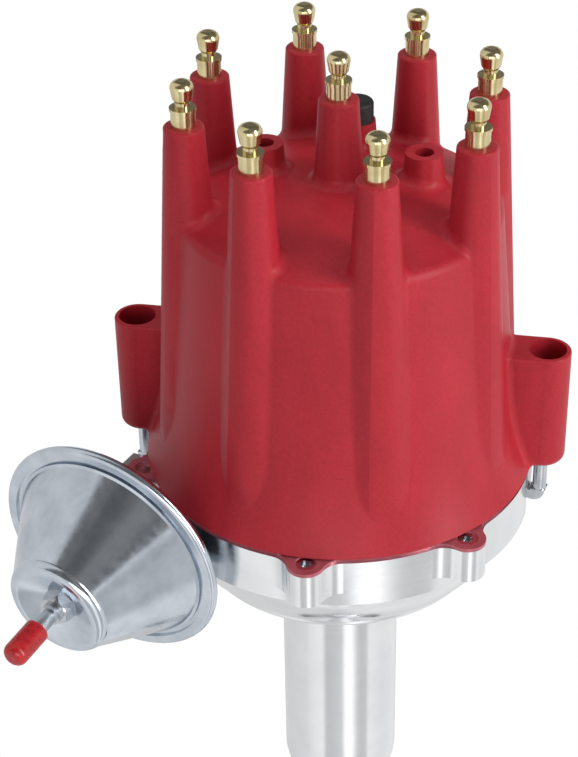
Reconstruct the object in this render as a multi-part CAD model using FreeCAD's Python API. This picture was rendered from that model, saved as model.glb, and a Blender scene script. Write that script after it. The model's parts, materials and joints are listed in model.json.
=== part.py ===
import FreeCAD, Part
import math
import os

# Ignition distributor for a V8 engine, in millimetres.
# The origin is on the shaft axis at the face that seats on the engine block, and +Z points up.
# The two cap latches lie on the X axis, and the vacuum canister is towards -X and -Y.

# Clearances
RUNNING_FIT = 0.05
SLIP_GAP = 0.3
HOLE_GAP = 0.1

# Shank, hold-down flange and tube of the housing
SHANK_RADIUS = 15.85
SHANK_LENGTH = 34.0
SHANK_CHAMFER = 1.0
FLANGE_RADIUS = 23.5
FLANGE_THICK = 6.0
NECK_RADIUS = 11.6
NECK_LENGTH = 16.0
TUBE_RADIUS = 16.25
SHOULDER_ARC = 13.0
TUBE_BORE_RADIUS = 8.2

# Bowl of the housing, with drops measured down from its deck
RIM_Z = 140.0
PLATE_THICK = 1.0
PLATE_INSET = 0.8
WALL_RADIUS = 51.6
WALL_DROP = 13.4
STEP_WIDTH = 1.6
FOOT_RADIUS = 40.0
FOOT_DROP = 29.0
FOOT_CORNER = 2.0
UNDERSIDE_DROP = 32.0
UNDERSIDE_FILLET = 4.0
BOWL_BORE_RADIUS = 45.5
BORE_DROP = 12.4
FLOOR_RADIUS = 40.5
FLOOR_DROP = 21.0

# Lobes that carry the adapter plate's screws, as angles from +X
LOBE_ANGLES = [-90.0, -43.4, 22.0, 90.0, 136.6]
SPARE_LOBE_ANGLE = -158.0
LOBE_CIRCLE = 53.2
LOBE_RADIUS = 4.8
LOBE_BLEND = 6.0
LOBE_DROP = 9.6
COUNTERSINK_RADIUS = 2.8
PLATE_SCREW_SINK = 0.35
PLATE_SCREW_LENGTH = 9.0
PLATE_OPENING_RADIUS = 42.5
REGISTER_WIDTH = 2.0
REGISTER_HEIGHT = 1.8
SCREW_RADIUS = 1.5
SCREW_HEAD_RADIUS = 2.6
SCREW_HEAD_HEIGHT = 2.2
SCREW_LENGTH = 9.0
SOCKET_FLATS = 2.5
SOCKET_DEPTH = 1.5

# Shaft, bushings and drive gear
SHAFT_RADIUS = 6.35
BUSHING_WALL = 2.6
BUSHING_LENGTH = 26.0
WASHER_THICK = 1.2
WASHER_RADIUS = 11.4
GEAR_TEETH = 13
GEAR_TIP_RADIUS = 15.4
GEAR_ROOT_RADIUS = 12.5
GEAR_FACE = 22.0
GEAR_HELIX_DEGREES = 40.0
GEAR_COLLAR_RADIUS = 11.2
GEAR_COLLAR = 8.0
GEAR_PIN_RADIUS = 2.4
SHAFT_TAIL = 10.0
SHAFT_TAIL_RADIUS = 5.6
DRIVE_SLOT_WIDTH = 4.0
DRIVE_SLOT_DEPTH = 4.0
ORING_DROP = 10.0
ORING_RADIUS = 1.2
ORING_SQUEEZE = 0.05

# Hub that carries the pickup plate
HUB_SHOULDER_RADIUS = 17.5
HUB_SHOULDER_DROP = 13.0
HUB_JOURNAL_RADIUS = 14.0
HUB_TOP_DROP = 9.5
PICKUP_PLATE_THICK = 2.0
PICKUP_PLATE_RADIUS = 33.0
RETAINER_THICK = 0.9
RETAINER_WIDTH = 3.2
RETAINER_GROOVE = 0.9

# Advance mechanism on the shaft
JOURNAL_RADIUS = 4.75
SLEEVE_WALL = 2.7
SHOULDER_LIFT = 1.0
UPPER_WASHER_THICK = 0.8
ADVANCE_BASE_HEIGHT = 5.0
ADVANCE_BASE_THICK = 2.2
ADVANCE_BASE_RADIUS = 30.0
RELUCTOR_TIP_RADIUS = 23.0
RELUCTOR_ROOT_RADIUS = 18.5
RELUCTOR_THICK = 5.0
RELUCTOR_TOOTH_WIDTH = 4.0
CYLINDERS = 8
WEIGHT_PIVOT_RADIUS = 22.0
WEIGHT_PIN_RADIUS = 2.2
WEIGHT_THICK = 5.5
WEIGHT_INNER_RADIUS = 13.5
WEIGHT_OUTER_RADIUS = 27.0
WEIGHT_SWEEP = 112.0
CAM_LENGTH = 11.5
CAM_WIDTH = 6.5
CAM_THICK = 4.0
SPRING_POST_RADIUS = 1.3
SPRING_POST_CIRCLE = 9.4
ADVANCE_SPRING_RADIUS = 1.9
ADVANCE_WIRE_RADIUS = 0.35

# Rotor
ROTOR_BASE_RADIUS = 31.0
ROTOR_BASE_THICK = 3.0
ROTOR_BASE_HEIGHT = 18.0
ROTOR_POST_CIRCLE = 22.5
ROTOR_POST_RADIUS = 3.4
ROTOR_POST_ANGLE = 143.5
ROTOR_TOP_HEIGHT = 49.0
ROTOR_TIP_RADIUS = 33.0
ROTOR_ARM_WIDTH = 13.0
BLADE_WIDTH = 8.0
BLADE_THICK = 1.2
CONTACT_WIDTH = 4.0
CONTACT_THICK = 0.4

# Distributor cap, with heights measured up from its rim
CAP_RIM_RADIUS = 52.0
CAP_RIM_EDGE = 0.6
CAP_FLARE_RADIUS = 45.5
CAP_FLARE_HEIGHT = 25.0
CAP_SHOULDER_RADIUS = 41.3
CAP_SHOULDER_HEIGHT = 73.5
CAP_CROWN_RISE = 7.0
CAP_CROWN_FULLNESS = 0.27
MOULDED_FILLET = 2.5
CAP_WALL = 3.2
CAP_RIM_WALL = 4.8
CAP_CROWN_WALL = 5.5

# Towers
TOWER_CIRCLE = 38.4
TOWER_FIRST_ANGLE = 22.5
TOWER_RISE = 25.6
TOWER_TOP_RADIUS = 5.0
TOWER_TAPER = 0.06
TOWER_FOOT_HEIGHT = 4.0
TOWER_EDGE = 0.5
CENTRE_TOWER_LEAD = 2.9

# Vent posts on the crown: angle, distance from the axis
OPEN_VENTS = [(16.0, 21.4), (165.0, 20.5)]
PLUGGED_VENT = (87.0, 22.0)
VENT_RISE = 5.5
VENT_ROOT = 8.0
VENT_RADIUS = 4.8
VENT_FLARE = 1.0
VENT_BORE_RADIUS = 2.45
VENT_PLUG_RADIUS = 4.3
VENT_PLUG_HEIGHT = 5.6
VENT_PLUG_STEM = 8.0

# Brass terminals
TERMINAL_HEIGHT = 11.9
TERMINAL_BASE_RADIUS = 3.05
TERMINAL_BASE_HEIGHT = 4.2
TERMINAL_SHANK_RADIUS = 2.5
TERMINAL_RING_RADIUS = 3.3
TERMINAL_RING_HEIGHT = 0.8
TERMINAL_NECK_RADIUS = 1.85
TERMINAL_NECK_HEIGHT = 1.5
TERMINAL_KNOB_RADIUS = 2.9
TERMINAL_KNOB_FOOT_RADIUS = 2.45
ELECTRODE_BOTTOM = 46.0
ELECTRODE_HEIGHT = 10.0
ELECTRODE_WIDTH = 5.0
ELECTRODE_GAP = 1.0
ELECTRODE_BOSS_WALL = 2.0

# Centre contact
BUTTON_RADIUS = 2.5
BUTTON_LENGTH = 11.0
BUTTON_TIP_HEIGHT = 58.0
BUTTON_BOSS_RADIUS = 6.5
BUTTON_BOSS_BOTTOM = 62.0
BUTTON_SPRING_LENGTH = 11.0
BUTTON_WIRE_RADIUS = 0.3

# Ears and latches
EAR_RADIUS = 54.4
EAR_HALF_WIDTH = 6.1
EAR_FILLET = 2.0
EAR_FOOT_FILLET = 2.2
EAR_EDGE = 0.5
EAR_TOP = 35.1
EAR_BOTTOM = 1.5
WELL_RADIUS = 4.9
WELL_FLOOR = 7.5
STEM_RADIUS = 1.85
STEM_GAP = 0.3
LATCH_HEAD_RADIUS = 4.2
LATCH_HEAD_BOTTOM = 24.0
LATCH_HEAD_HEIGHT = 2.5
LATCH_WASHER_THICK = 1.0
LATCH_WASHER_RADIUS = 4.5
HOOK_WIDTH = 3.7
HOOK_LIP_THICK = 2.1
HOOK_SLOT = 0.95
HOOK_DROP = 12.0
SCALLOP_RADIUS = 5.7
HOOK_REST_TURN = -12.0
CATCH_START = 29.0
CATCH_END = 75.0
LATCH_SPRING_RADIUS = 3.4
LATCH_WIRE_RADIUS = 0.5

# Vacuum canister: centre of its flange, and the way its nose points
CAN_CENTRE = (-53.9, -41.3)
CAN_DROP = 11.0
CAN_NOSE_AZIMUTH = -109.4
CAN_NOSE_DIP = 5.8
CAN_FLANGE_RADIUS = 32.3
CAN_RIM_THICK = 2.6
CAN_GROOVE_RADIUS = 29.2
CAN_CONE_RADIUS = 27.2
CAN_NOSE_RADIUS = 12.6
CAN_NOSE_HEIGHT = 26.0
CAN_NOSE_DISH = 3.2
CAN_SHEET = 0.9
CAN_BACK_DEPTH = 9.0
CAN_BACK_RADIUS = 10.0
PAD_REACH = 13.0
PAD_DROP = 6.4
PAD_LEFT = -4.8
PAD_RIGHT = 14.5
BRACKET_THICK = 2.0
BRACKET_NECK_RADIUS = 3.9
ROD_BORE_RADIUS = 3.0
BRACKET_SCREW_OFFSETS = [6.6, 11.6]
BRACKET_SCREW_HEAD_RADIUS = 2.2
NIPPLE_NUT_FLATS = 8.0
NIPPLE_NUT_HEIGHT = 3.6
NIPPLE_RADIUS = 2.1
NIPPLE_TIP_RADIUS = 1.9
NIPPLE_LENGTH = 17.0
NIPPLE_BORE = 1.1
NIPPLE_CAP_RADIUS = 3.3
NIPPLE_CAP_LENGTH = 11.0
NIPPLE_CAP_START = 33.6
ROD_WIDTH = 5.0
ROD_THICK = 1.6
ROD_PIN_RADIUS = 1.5
DIAPHRAGM_THICK = 0.8
PISTON_RADIUS = 15.0
PLATE_TURN_DEGREES = 8.0

# Ignition module, pickup and lead grommet
MODULE_START = -112.0
MODULE_END = -22.0
MODULE_INNER = 20.0
MODULE_OUTER = 38.5
MODULE_HEIGHT = 5.6
PICKUP_ANGLE = 60.0
PICKUP_WIDTH = 16.0
PICKUP_HEIGHT = 9.0
PICKUP_GAP = 0.8
GROMMET_ANGLE = 112.0
GROMMET_WIDTH = 12.0
GROMMET_HEIGHT = 7.0
GROMMET_LIP = 1.6
GROMMET_DROP = 3.4
WIRE_HOLE_RADIUS = 1.1

# Heights worked out from the sizes above
DECK_Z = RIM_Z - PLATE_THICK
FLOOR_Z = DECK_Z - FLOOR_DROP
HUB_TOP_Z = DECK_Z - HUB_TOP_DROP
PICKUP_PLATE_Z = DECK_Z - HUB_SHOULDER_DROP
SLEEVE_Z = HUB_TOP_Z + SHOULDER_LIFT
ADVANCE_BASE_Z = RIM_Z + ADVANCE_BASE_HEIGHT
WEIGHT_Z = ADVANCE_BASE_Z + ADVANCE_BASE_THICK + SLIP_GAP
BUSHING_RADIUS = SHAFT_RADIUS + RUNNING_FIT + BUSHING_WALL
SLEEVE_BORE = JOURNAL_RADIUS + RUNNING_FIT
SLEEVE_RADIUS = SLEEVE_BORE + SLEEVE_WALL
GEAR_TOP_Z = -SHANK_LENGTH - WASHER_THICK - SLIP_GAP
GEAR_PIN_Z = GEAR_TOP_Z - GEAR_FACE - GEAR_COLLAR / 2
SHAFT_BOTTOM_Z = GEAR_TOP_Z - GEAR_FACE - GEAR_COLLAR - SHAFT_TAIL
SHAFT_TOP_Z = WEIGHT_Z + CAM_THICK + 1.0
CAP_CROWN_HEIGHT = CAP_SHOULDER_HEIGHT + CAP_CROWN_RISE
TOWER_TOP_HEIGHT = CAP_SHOULDER_HEIGHT + TOWER_RISE
CENTRE_TOWER_TOP_HEIGHT = TOWER_TOP_HEIGHT + CENTRE_TOWER_LEAD
VENT_TOP_HEIGHT = CAP_CROWN_HEIGHT + VENT_RISE
CENTRE_INSERT_BOTTOM = BUTTON_TIP_HEIGHT + BUTTON_LENGTH + BUTTON_SPRING_LENGTH

UP = FreeCAD.Vector(0, 0, 1)


def vec(x, y, z=0.0):
    """A point or a direction."""
    return FreeCAD.Vector(x, y, z)


def polar(radius, degrees, z=0.0):
    """A point at a distance and an angle from the shaft axis."""
    angle = math.radians(degrees)
    return vec(radius * math.cos(angle), radius * math.sin(angle), z)


def cylinder(radius, z_low, z_high, centre=vec(0, 0)):
    """An upright cylinder between two heights."""
    base = vec(centre.x, centre.y, z_low)
    return Part.makeCylinder(radius, z_high - z_low, base)


def ring(outer, inner, z_low, z_high, centre=vec(0, 0)):
    """An upright tube between two heights."""
    bore = cylinder(inner, z_low - 1, z_high + 1, centre)
    return cylinder(outer, z_low, z_high, centre).cut(bore)


def block(x_low, x_high, y_low, y_high, z_low, z_high):
    """A box given by its limits."""
    return Part.makeBox(x_high - x_low, y_high - y_low, z_high - z_low, vec(x_low, y_low, z_low))


def revolve(outline):
    """Turn a closed outline of (radius, height) points about the shaft axis."""
    points = [vec(radius, 0, height) for radius, height in outline]
    face = Part.Face(Part.makePolygon(points + [points[0]]))
    return face.revolve(vec(0, 0), UP, 360)


def revolve_edges(edges):
    """Turn a closed outline of edges in the XZ plane about the shaft axis."""
    face = Part.Face(Part.Wire(Part.__sortEdges__(edges)))
    return face.revolve(vec(0, 0), UP, 360)


def prism(points, z_low, z_high):
    """An upright prism on a closed outline of points."""
    base = [vec(point.x, point.y, z_low) for point in points]
    face = Part.Face(Part.makePolygon(base + [base[0]]))
    return face.extrude(vec(0, 0, z_high - z_low))


def hexagon(flats, z_low, z_high, centre=vec(0, 0)):
    """An upright hexagonal prism, sized across its flats."""
    corner = flats / math.sqrt(3)
    points = [centre + polar(corner, 60 * k) for k in range(6)]
    return prism(points, z_low, z_high)


def fuse(shapes):
    """One solid from several that overlap."""
    return shapes[0].multiFuse(shapes[1:]).removeSplitter()


def turned(shape, degrees):
    """A copy turned about the shaft axis."""
    copy = shape.copy()
    copy.rotate(vec(0, 0), UP, degrees)
    return copy


def around(shape, count):
    """Copies of a shape spread evenly about the shaft axis."""
    return [turned(shape, 360 / count * k) for k in range(count)]


def coil(radius, wire, z_low, z_high, turns, centre=vec(0, 0)):
    """A round-wire compression spring that stands between two heights."""
    rise = z_high - z_low - 2 * wire
    spine = Part.makeHelix(rise / turns, rise, radius)
    section = Part.Wire(Part.makeCircle(wire, vec(radius, 0), vec(0, 1, 0)))
    spring = Part.Wire(spine).makePipeShell([section], True, True)
    spring.translate(vec(centre.x, centre.y, z_low + wire))
    return spring


def lobed_disc(radius, z_low, z_high, angles):
    """A round outline with screw lobes blended into it by concave arcs."""
    shapes = [cylinder(radius, z_low, z_high)]
    reach = radius + LOBE_BLEND
    side = LOBE_RADIUS + LOBE_BLEND
    along = (LOBE_CIRCLE ** 2 + reach ** 2 - side ** 2) / (2 * LOBE_CIRCLE)
    across = math.sqrt(reach ** 2 - along ** 2)
    web = prism([vec(0, 0), vec(along, -across), vec(LOBE_CIRCLE, 0), vec(along, across)], z_low, z_high)
    for y in (-across, across):
        web = web.cut(cylinder(LOBE_BLEND, z_low - 1, z_high + 1, vec(along, y)))
    lobe = web.fuse(cylinder(LOBE_RADIUS, z_low, z_high, vec(LOBE_CIRCLE, 0)))
    shapes += [turned(lobe, angle) for angle in angles]
    return fuse(shapes)


def latch_scallops(z_low, z_high):
    """Round clearances in the wall where the two latch hooks hang."""
    scallop = cylinder(SCALLOP_RADIUS, z_low, z_high, vec(EAR_RADIUS, 0))
    return Part.makeCompound(around(scallop, 2))


def can_frame(shape):
    """Move a shape from the canister's own frame, nose along +Z, into place."""
    turn = FreeCAD.Rotation(UP, can_axis())
    place = FreeCAD.Placement(vec(CAN_CENTRE[0], CAN_CENTRE[1], RIM_Z - CAN_DROP), turn)
    moved = shape.copy()
    moved.Placement = place.multiply(moved.Placement)
    return moved


def can_axis():
    """The direction in which the canister's nose points."""
    dip = math.radians(CAN_NOSE_DIP)
    flat = polar(math.cos(dip), CAN_NOSE_AZIMUTH)
    return vec(flat.x, flat.y, -math.sin(dip))


def rod_foot():
    """How far in the rod's line passes nearest the shaft, and how near it passes."""
    flat = polar(1, CAN_NOSE_AZIMUTH)
    inward = CAN_CENTRE[0] * flat.x + CAN_CENTRE[1] * flat.y
    miss = math.hypot(CAN_CENTRE[0], CAN_CENTRE[1]) ** 2 - inward ** 2
    return inward, math.sqrt(miss)


def along_can(shape):
    """Turn a shape drawn with its length along +X so that it runs inward along the rod, level."""
    copy = shape.copy()
    copy.rotate(vec(0, 0), UP, CAN_NOSE_AZIMUTH + 180)
    copy.translate(vec(CAN_CENTRE[0], CAN_CENTRE[1], 0))
    return copy


def housing():
    """Bowl, tube, hold-down flange and shank, turned and milled from one billet."""
    shoulder_drop = math.sqrt(SHOULDER_ARC ** 2 - (NECK_RADIUS - TUBE_RADIUS + SHOULDER_ARC) ** 2)
    neck_top = FLANGE_THICK + NECK_LENGTH
    tube_bottom = neck_top + shoulder_drop
    underside = DECK_Z - UNDERSIDE_DROP
    wall_bottom = DECK_Z - WALL_DROP
    arc_mid_angle = math.asin(shoulder_drop / SHOULDER_ARC) / 2
    arc_mid = vec(TUBE_RADIUS - SHOULDER_ARC + SHOULDER_ARC * math.cos(arc_mid_angle), 0,
                  tube_bottom - SHOULDER_ARC * math.sin(arc_mid_angle))
    foot = vec(FOOT_RADIUS, 0, DECK_Z - FOOT_DROP)
    step = vec(WALL_RADIUS - STEP_WIDTH, 0, wall_bottom)
    bulge = vec((foot.x + step.x) / 2 + 0.9, 0, (foot.z + step.z) / 2 - 0.6)
    corner = vec(FOOT_RADIUS - FOOT_CORNER, 0, foot.z - FOOT_CORNER)
    corner_mid = vec(FOOT_RADIUS - FOOT_CORNER * 0.3, 0, foot.z - FOOT_CORNER * 0.7)
    blend_out = vec(TUBE_RADIUS + UNDERSIDE_FILLET, 0, underside)
    blend_in = vec(TUBE_RADIUS, 0, underside - UNDERSIDE_FILLET)
    blend_mid = vec(TUBE_RADIUS + UNDERSIDE_FILLET * 0.293, 0, underside - UNDERSIDE_FILLET * 0.293)
    chamfer_out = vec(SHANK_RADIUS, 0, -SHANK_LENGTH + SHANK_CHAMFER)
    chamfer_in = vec(SHANK_RADIUS - SHANK_CHAMFER, 0, -SHANK_LENGTH)
    corners = [
        vec(0, 0, -SHANK_LENGTH), chamfer_in, chamfer_out, vec(SHANK_RADIUS, 0, 0),
        vec(FLANGE_RADIUS, 0, 0), vec(FLANGE_RADIUS, 0, FLANGE_THICK),
        vec(NECK_RADIUS, 0, FLANGE_THICK), vec(NECK_RADIUS, 0, neck_top),
    ]
    edges = [Part.LineSegment(a, b).toShape() for a, b in zip(corners, corners[1:])]
    tube_foot = vec(TUBE_RADIUS, 0, tube_bottom)
    top = [step, vec(WALL_RADIUS, 0, wall_bottom), vec(WALL_RADIUS, 0, DECK_Z), vec(0, 0, DECK_Z)]
    edges += [
        Part.Arc(corners[-1], arc_mid, tube_foot).toShape(),
        Part.LineSegment(tube_foot, blend_in).toShape(),
        Part.Arc(blend_in, blend_mid, blend_out).toShape(),
        Part.LineSegment(blend_out, corner).toShape(),
        Part.Arc(corner, corner_mid, foot).toShape(),
        Part.Arc(foot, bulge, step).toShape(),
    ]
    edges += [Part.LineSegment(a, b).toShape() for a, b in zip(top, top[1:])]
    edges.append(Part.LineSegment(top[-1], corners[0]).toShape())
    body = revolve_edges(edges)
    body = fuse([body, lobed_disc(WALL_RADIUS, DECK_Z - LOBE_DROP, DECK_Z, LOBE_ANGLES), canister_pad()])
    body = body.cut(bowl_cavity())
    body = body.cut(latch_scallops(wall_bottom, RIM_Z))
    body = body.cut(bracket_seat())
    for angle in LOBE_ANGLES:
        body = body.cut(countersunk_hole(angle))
    body = body.cut(shaft_bores())
    groove_low = -ORING_DROP - 2.6 * ORING_RADIUS
    body = body.cut(ring(SHANK_RADIUS + 1, oring_groove_radius(), groove_low, -ORING_DROP))
    body = body.cut(rod_window())
    body = body.cut(bracket_screw_holes())
    body = body.cut(grommet_slot())
    for hole in module_screw_shapes():
        body = body.cut(hole)
    return body


def canister_pad():
    """The low boss on the bowl's side that the canister's bracket is screwed to."""
    low = DECK_Z - WALL_DROP
    pad = along_can(block(PAD_REACH, 34.0, PAD_LEFT, PAD_RIGHT, low, RIM_Z - PAD_DROP))
    return pad.common(cylinder(WALL_RADIUS + 10, low - 1, RIM_Z))


def bracket_seat():
    """What is milled off the wall so that the bracket's foot lies on one flat face."""
    seat = block(0, PAD_REACH, PAD_LEFT - 1, PAD_RIGHT, DECK_Z - WALL_DROP - 1, RIM_Z - PAD_DROP)
    return along_can(seat)


def bowl_cavity():
    """The space inside the bowl, around the hub that carries the pickup plate."""
    corner = DECK_Z - BORE_DROP
    cavity = revolve([
        (0, RIM_Z), (BOWL_BORE_RADIUS, RIM_Z), (BOWL_BORE_RADIUS, corner),
        (FLOOR_RADIUS, FLOOR_Z), (0, FLOOR_Z),
    ])
    hub = revolve([
        (0, FLOOR_Z - 1), (HUB_SHOULDER_RADIUS, FLOOR_Z - 1), (HUB_SHOULDER_RADIUS, PICKUP_PLATE_Z),
        (HUB_JOURNAL_RADIUS, PICKUP_PLATE_Z), (HUB_JOURNAL_RADIUS, HUB_TOP_Z), (0, HUB_TOP_Z),
    ])
    groove_low = retainer_z() - HOLE_GAP
    groove_high = retainer_z() + RETAINER_THICK + HOLE_GAP
    groove = ring(HUB_JOURNAL_RADIUS + 1, HUB_JOURNAL_RADIUS - RETAINER_GROOVE, groove_low, groove_high)
    return cavity.cut(hub.cut(groove))


def retainer_z():
    """Height of the snap ring's lower face."""
    return PICKUP_PLATE_Z + PICKUP_PLATE_THICK + SLIP_GAP


def oring_groove_radius():
    """Radius of the bottom of the groove that holds the shank's seal ring."""
    return SHANK_RADIUS - ORING_SQUEEZE - 2 * ORING_RADIUS


def shaft_bores():
    """The through bore and the wider seats of the two bushings."""
    bore = cylinder(TUBE_BORE_RADIUS, -SHANK_LENGTH - 1, HUB_TOP_Z + 1)
    lower = cylinder(BUSHING_RADIUS, -SHANK_LENGTH - 1, -SHANK_LENGTH + BUSHING_LENGTH)
    upper = cylinder(BUSHING_RADIUS, HUB_TOP_Z - BUSHING_LENGTH, HUB_TOP_Z + 1)
    return fuse([bore, lower, upper])


def rod_window():
    """The slot through the boss and wall that the canister's rod passes through."""
    half = ROD_BORE_RADIUS + 0.4
    inward, miss = rod_foot()
    far = inward - math.sqrt(FLOOR_RADIUS ** 2 - miss ** 2)
    slot = block(-half, half, -ROD_THICK / 2 - 1, ROD_THICK / 2 + 1, -far, -PAD_REACH + 1.5)
    return can_frame_upright(slot)


def bracket_screw_height():
    """Height of the bracket's screws, in the middle of the boss."""
    return RIM_Z - (PAD_DROP + PLATE_THICK + WALL_DROP) / 2


def level_cylinder(radius, start, length, across, height):
    """A cylinder that runs inward, level, beside the rod."""
    shape = Part.makeCylinder(radius, length, vec(start, across, height), vec(1, 0, 0))
    return along_can(shape)


def bracket_screw_holes():
    """Tapped holes in the pad for the bracket's screws."""
    height = bracket_screw_height()
    holes = [level_cylinder(SCREW_RADIUS, PAD_REACH - 3, 9, y, height) for y in BRACKET_SCREW_OFFSETS]
    return Part.makeCompound(holes)


def grommet_slot():
    """The opening in the bowl wall, away from the canister, where the lead leaves."""
    high = DECK_Z - GROMMET_DROP
    slot = block(BOWL_BORE_RADIUS - 3, WALL_RADIUS + 3, -GROMMET_WIDTH / 2, GROMMET_WIDTH / 2,
                 high - GROMMET_HEIGHT, high)
    return turned(slot, GROMMET_ANGLE)


def lead_grommet():
    """Moulded rubber grommet with a lip on each side of the wall and three lead holes."""
    high = DECK_Z - GROMMET_DROP
    low = high - GROMMET_HEIGHT
    half = GROMMET_WIDTH / 2
    middle = (low + high) / 2
    outer = WALL_RADIUS + 0.1
    inner = math.sqrt(BOWL_BORE_RADIUS ** 2 - (half + GROMMET_LIP) ** 2) - 0.1
    body = block(inner, outer, -half, half, low, high)
    lips = [
        block(outer, outer + GROMMET_LIP, -half - GROMMET_LIP, half + GROMMET_LIP,
              low - GROMMET_LIP, high + GROMMET_LIP),
        block(inner - GROMMET_LIP, inner, -half - GROMMET_LIP, half + GROMMET_LIP,
              low - GROMMET_LIP, high + GROMMET_LIP),
    ]
    grommet = fuse([body] + lips)
    start = inner - GROMMET_LIP - 1
    length = outer - inner + 2 * GROMMET_LIP + 2
    for y in (-half * 0.55, 0, half * 0.55):
        hole = Part.makeCylinder(WIRE_HOLE_RADIUS, length, vec(start, y, middle), vec(1, 0, 0))
        grommet = grommet.cut(hole)
    return turned(grommet, GROMMET_ANGLE)


def bushing(z_low):
    """Sintered bronze bushing for the shaft."""
    return ring(BUSHING_RADIUS, SHAFT_RADIUS + RUNNING_FIT, z_low, z_low + BUSHING_LENGTH)


def shank_o_ring():
    """Seal ring in the shank's groove, drawn squeezed as it is in the block."""
    middle = oring_groove_radius() + ORING_RADIUS
    return Part.makeTorus(middle, ORING_RADIUS, vec(0, 0, -ORING_DROP - 1.3 * ORING_RADIUS))


def adapter_plate():
    """Thin plate between bowl and cap, with screw lobes, a register and a catch lug for each latch."""
    plate = lobed_disc(WALL_RADIUS - PLATE_INSET, DECK_Z, RIM_Z, LOBE_ANGLES + [SPARE_LOBE_ANGLE])
    register = CAP_RIM_RADIUS - CAP_RIM_WALL - SLIP_GAP - HOLE_GAP
    collar = cylinder(register, RIM_Z, RIM_Z + REGISTER_HEIGHT)
    plate = fuse([plate, collar])
    plate = plate.cut(cylinder(register - REGISTER_WIDTH, RIM_Z, RIM_Z + REGISTER_HEIGHT + 1))
    plate = plate.cut(cylinder(PLATE_OPENING_RADIUS, DECK_Z - 1, RIM_Z + 1))
    for angle in LOBE_ANGLES + [SPARE_LOBE_ANGLE]:
        plate = plate.cut(countersunk_hole(angle))
    plate = plate.cut(latch_scallops(DECK_Z - 1, RIM_Z + 5))
    return fuse([plate, catch_lugs()])


def catch_lugs():
    """The part of the plate left in each latch's clearance, which the turned hook grips from below."""
    centre = vec(EAR_RADIUS, 0)
    far = 4 * SCALLOP_RADIUS
    corners = [centre, centre + polar(far, 180 + CATCH_START), centre + polar(far, 180 + CATCH_END)]
    lug = cylinder(SCALLOP_RADIUS, DECK_Z, RIM_Z, centre).common(prism(corners, DECK_Z, RIM_Z))
    lug = lug.common(cylinder(WALL_RADIUS - PLATE_INSET, DECK_Z, RIM_Z))
    return Part.makeCompound(around(lug, 2))


def countersunk_hole(angle):
    """Screw hole of a lobe, widened at the top to a cone of 45 degrees."""
    centre = polar(LOBE_CIRCLE, angle)
    depth = COUNTERSINK_RADIUS - SCREW_RADIUS
    cone = Part.makeCone(SCREW_RADIUS, COUNTERSINK_RADIUS, depth, vec(centre.x, centre.y, RIM_Z - depth))
    return cone.fuse(cylinder(SCREW_RADIUS, RIM_Z - PLATE_SCREW_LENGTH, RIM_Z, centre))


def plate_screws():
    """Countersunk socket screws that hold the adapter plate down."""
    screws = []
    top = RIM_Z - PLATE_SCREW_SINK
    rim = COUNTERSINK_RADIUS - PLATE_SCREW_SINK
    depth = rim - SCREW_RADIUS
    for angle in LOBE_ANGLES:
        centre = polar(LOBE_CIRCLE, angle)
        head = Part.makeCone(SCREW_RADIUS, rim, depth, vec(centre.x, centre.y, top - depth))
        screw = head.fuse(cylinder(SCREW_RADIUS, RIM_Z - PLATE_SCREW_LENGTH, top, centre))
        screws.append(screw.cut(hexagon(SOCKET_FLATS, top - SOCKET_DEPTH, top + 1, centre)))
    return Part.makeCompound(screws)


def shaft():
    """Main shaft, with a thinner top for the advance sleeve and a slot for the oil pump drive."""
    body = cylinder(SHAFT_RADIUS, SHAFT_BOTTOM_Z + SHAFT_TAIL, SLEEVE_Z)
    tail = cylinder(SHAFT_TAIL_RADIUS, SHAFT_BOTTOM_Z, SHAFT_BOTTOM_Z + SHAFT_TAIL + 1)
    journal = cylinder(JOURNAL_RADIUS, SLEEVE_Z - 1, SHAFT_TOP_Z)
    body = fuse([body, tail, journal])
    slot = block(-DRIVE_SLOT_WIDTH / 2, DRIVE_SLOT_WIDTH / 2, -20, 20,
                 SHAFT_BOTTOM_Z - 1, SHAFT_BOTTOM_Z + DRIVE_SLOT_DEPTH)
    return body.cut(slot).cut(gear_pin())


def gear_outline(z, twist):
    """One closed outline of the gear's teeth at a height, turned by a twist angle."""
    pitch = 360 / GEAR_TEETH
    shares = [(0.0, GEAR_ROOT_RADIUS), (0.20, GEAR_ROOT_RADIUS), (0.36, GEAR_TIP_RADIUS),
              (0.64, GEAR_TIP_RADIUS), (0.80, GEAR_ROOT_RADIUS)]
    points = []
    for tooth in range(GEAR_TEETH):
        for share, radius in shares:
            points.append(polar(radius, pitch * (tooth + share) + twist, z))
    return Part.makePolygon(points + [points[0]])


def drive_gear():
    """Helical gear driven by the camshaft, with a plain collar for its pin."""
    sections = 5
    outlines = []
    for k in range(sections):
        share = k / (sections - 1)
        outlines.append(gear_outline(GEAR_TOP_Z - GEAR_FACE * share, GEAR_HELIX_DEGREES * share))
    teeth = Part.makeLoft(outlines, True, True)
    collar_low = GEAR_TOP_Z - GEAR_FACE - GEAR_COLLAR
    collar = cylinder(GEAR_COLLAR_RADIUS, collar_low, GEAR_TOP_Z - GEAR_FACE + 1)
    gear = teeth.fuse(collar)
    gear = gear.cut(cylinder(SHAFT_RADIUS, collar_low - 1, GEAR_TOP_Z + 1))
    return gear.cut(gear_pin())


def gear_pin():
    """Roll pin through the gear's collar and the shaft."""
    start = vec(-GEAR_COLLAR_RADIUS + 0.3, 0, GEAR_PIN_Z)
    return Part.makeCylinder(GEAR_PIN_RADIUS, 2 * GEAR_COLLAR_RADIUS - 0.6, start, vec(1, 0, 0))


def thrust_washer():
    """Washer between the shank's end and the gear."""
    return ring(WASHER_RADIUS, SHAFT_RADIUS + HOLE_GAP, -SHANK_LENGTH - WASHER_THICK, -SHANK_LENGTH)


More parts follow.
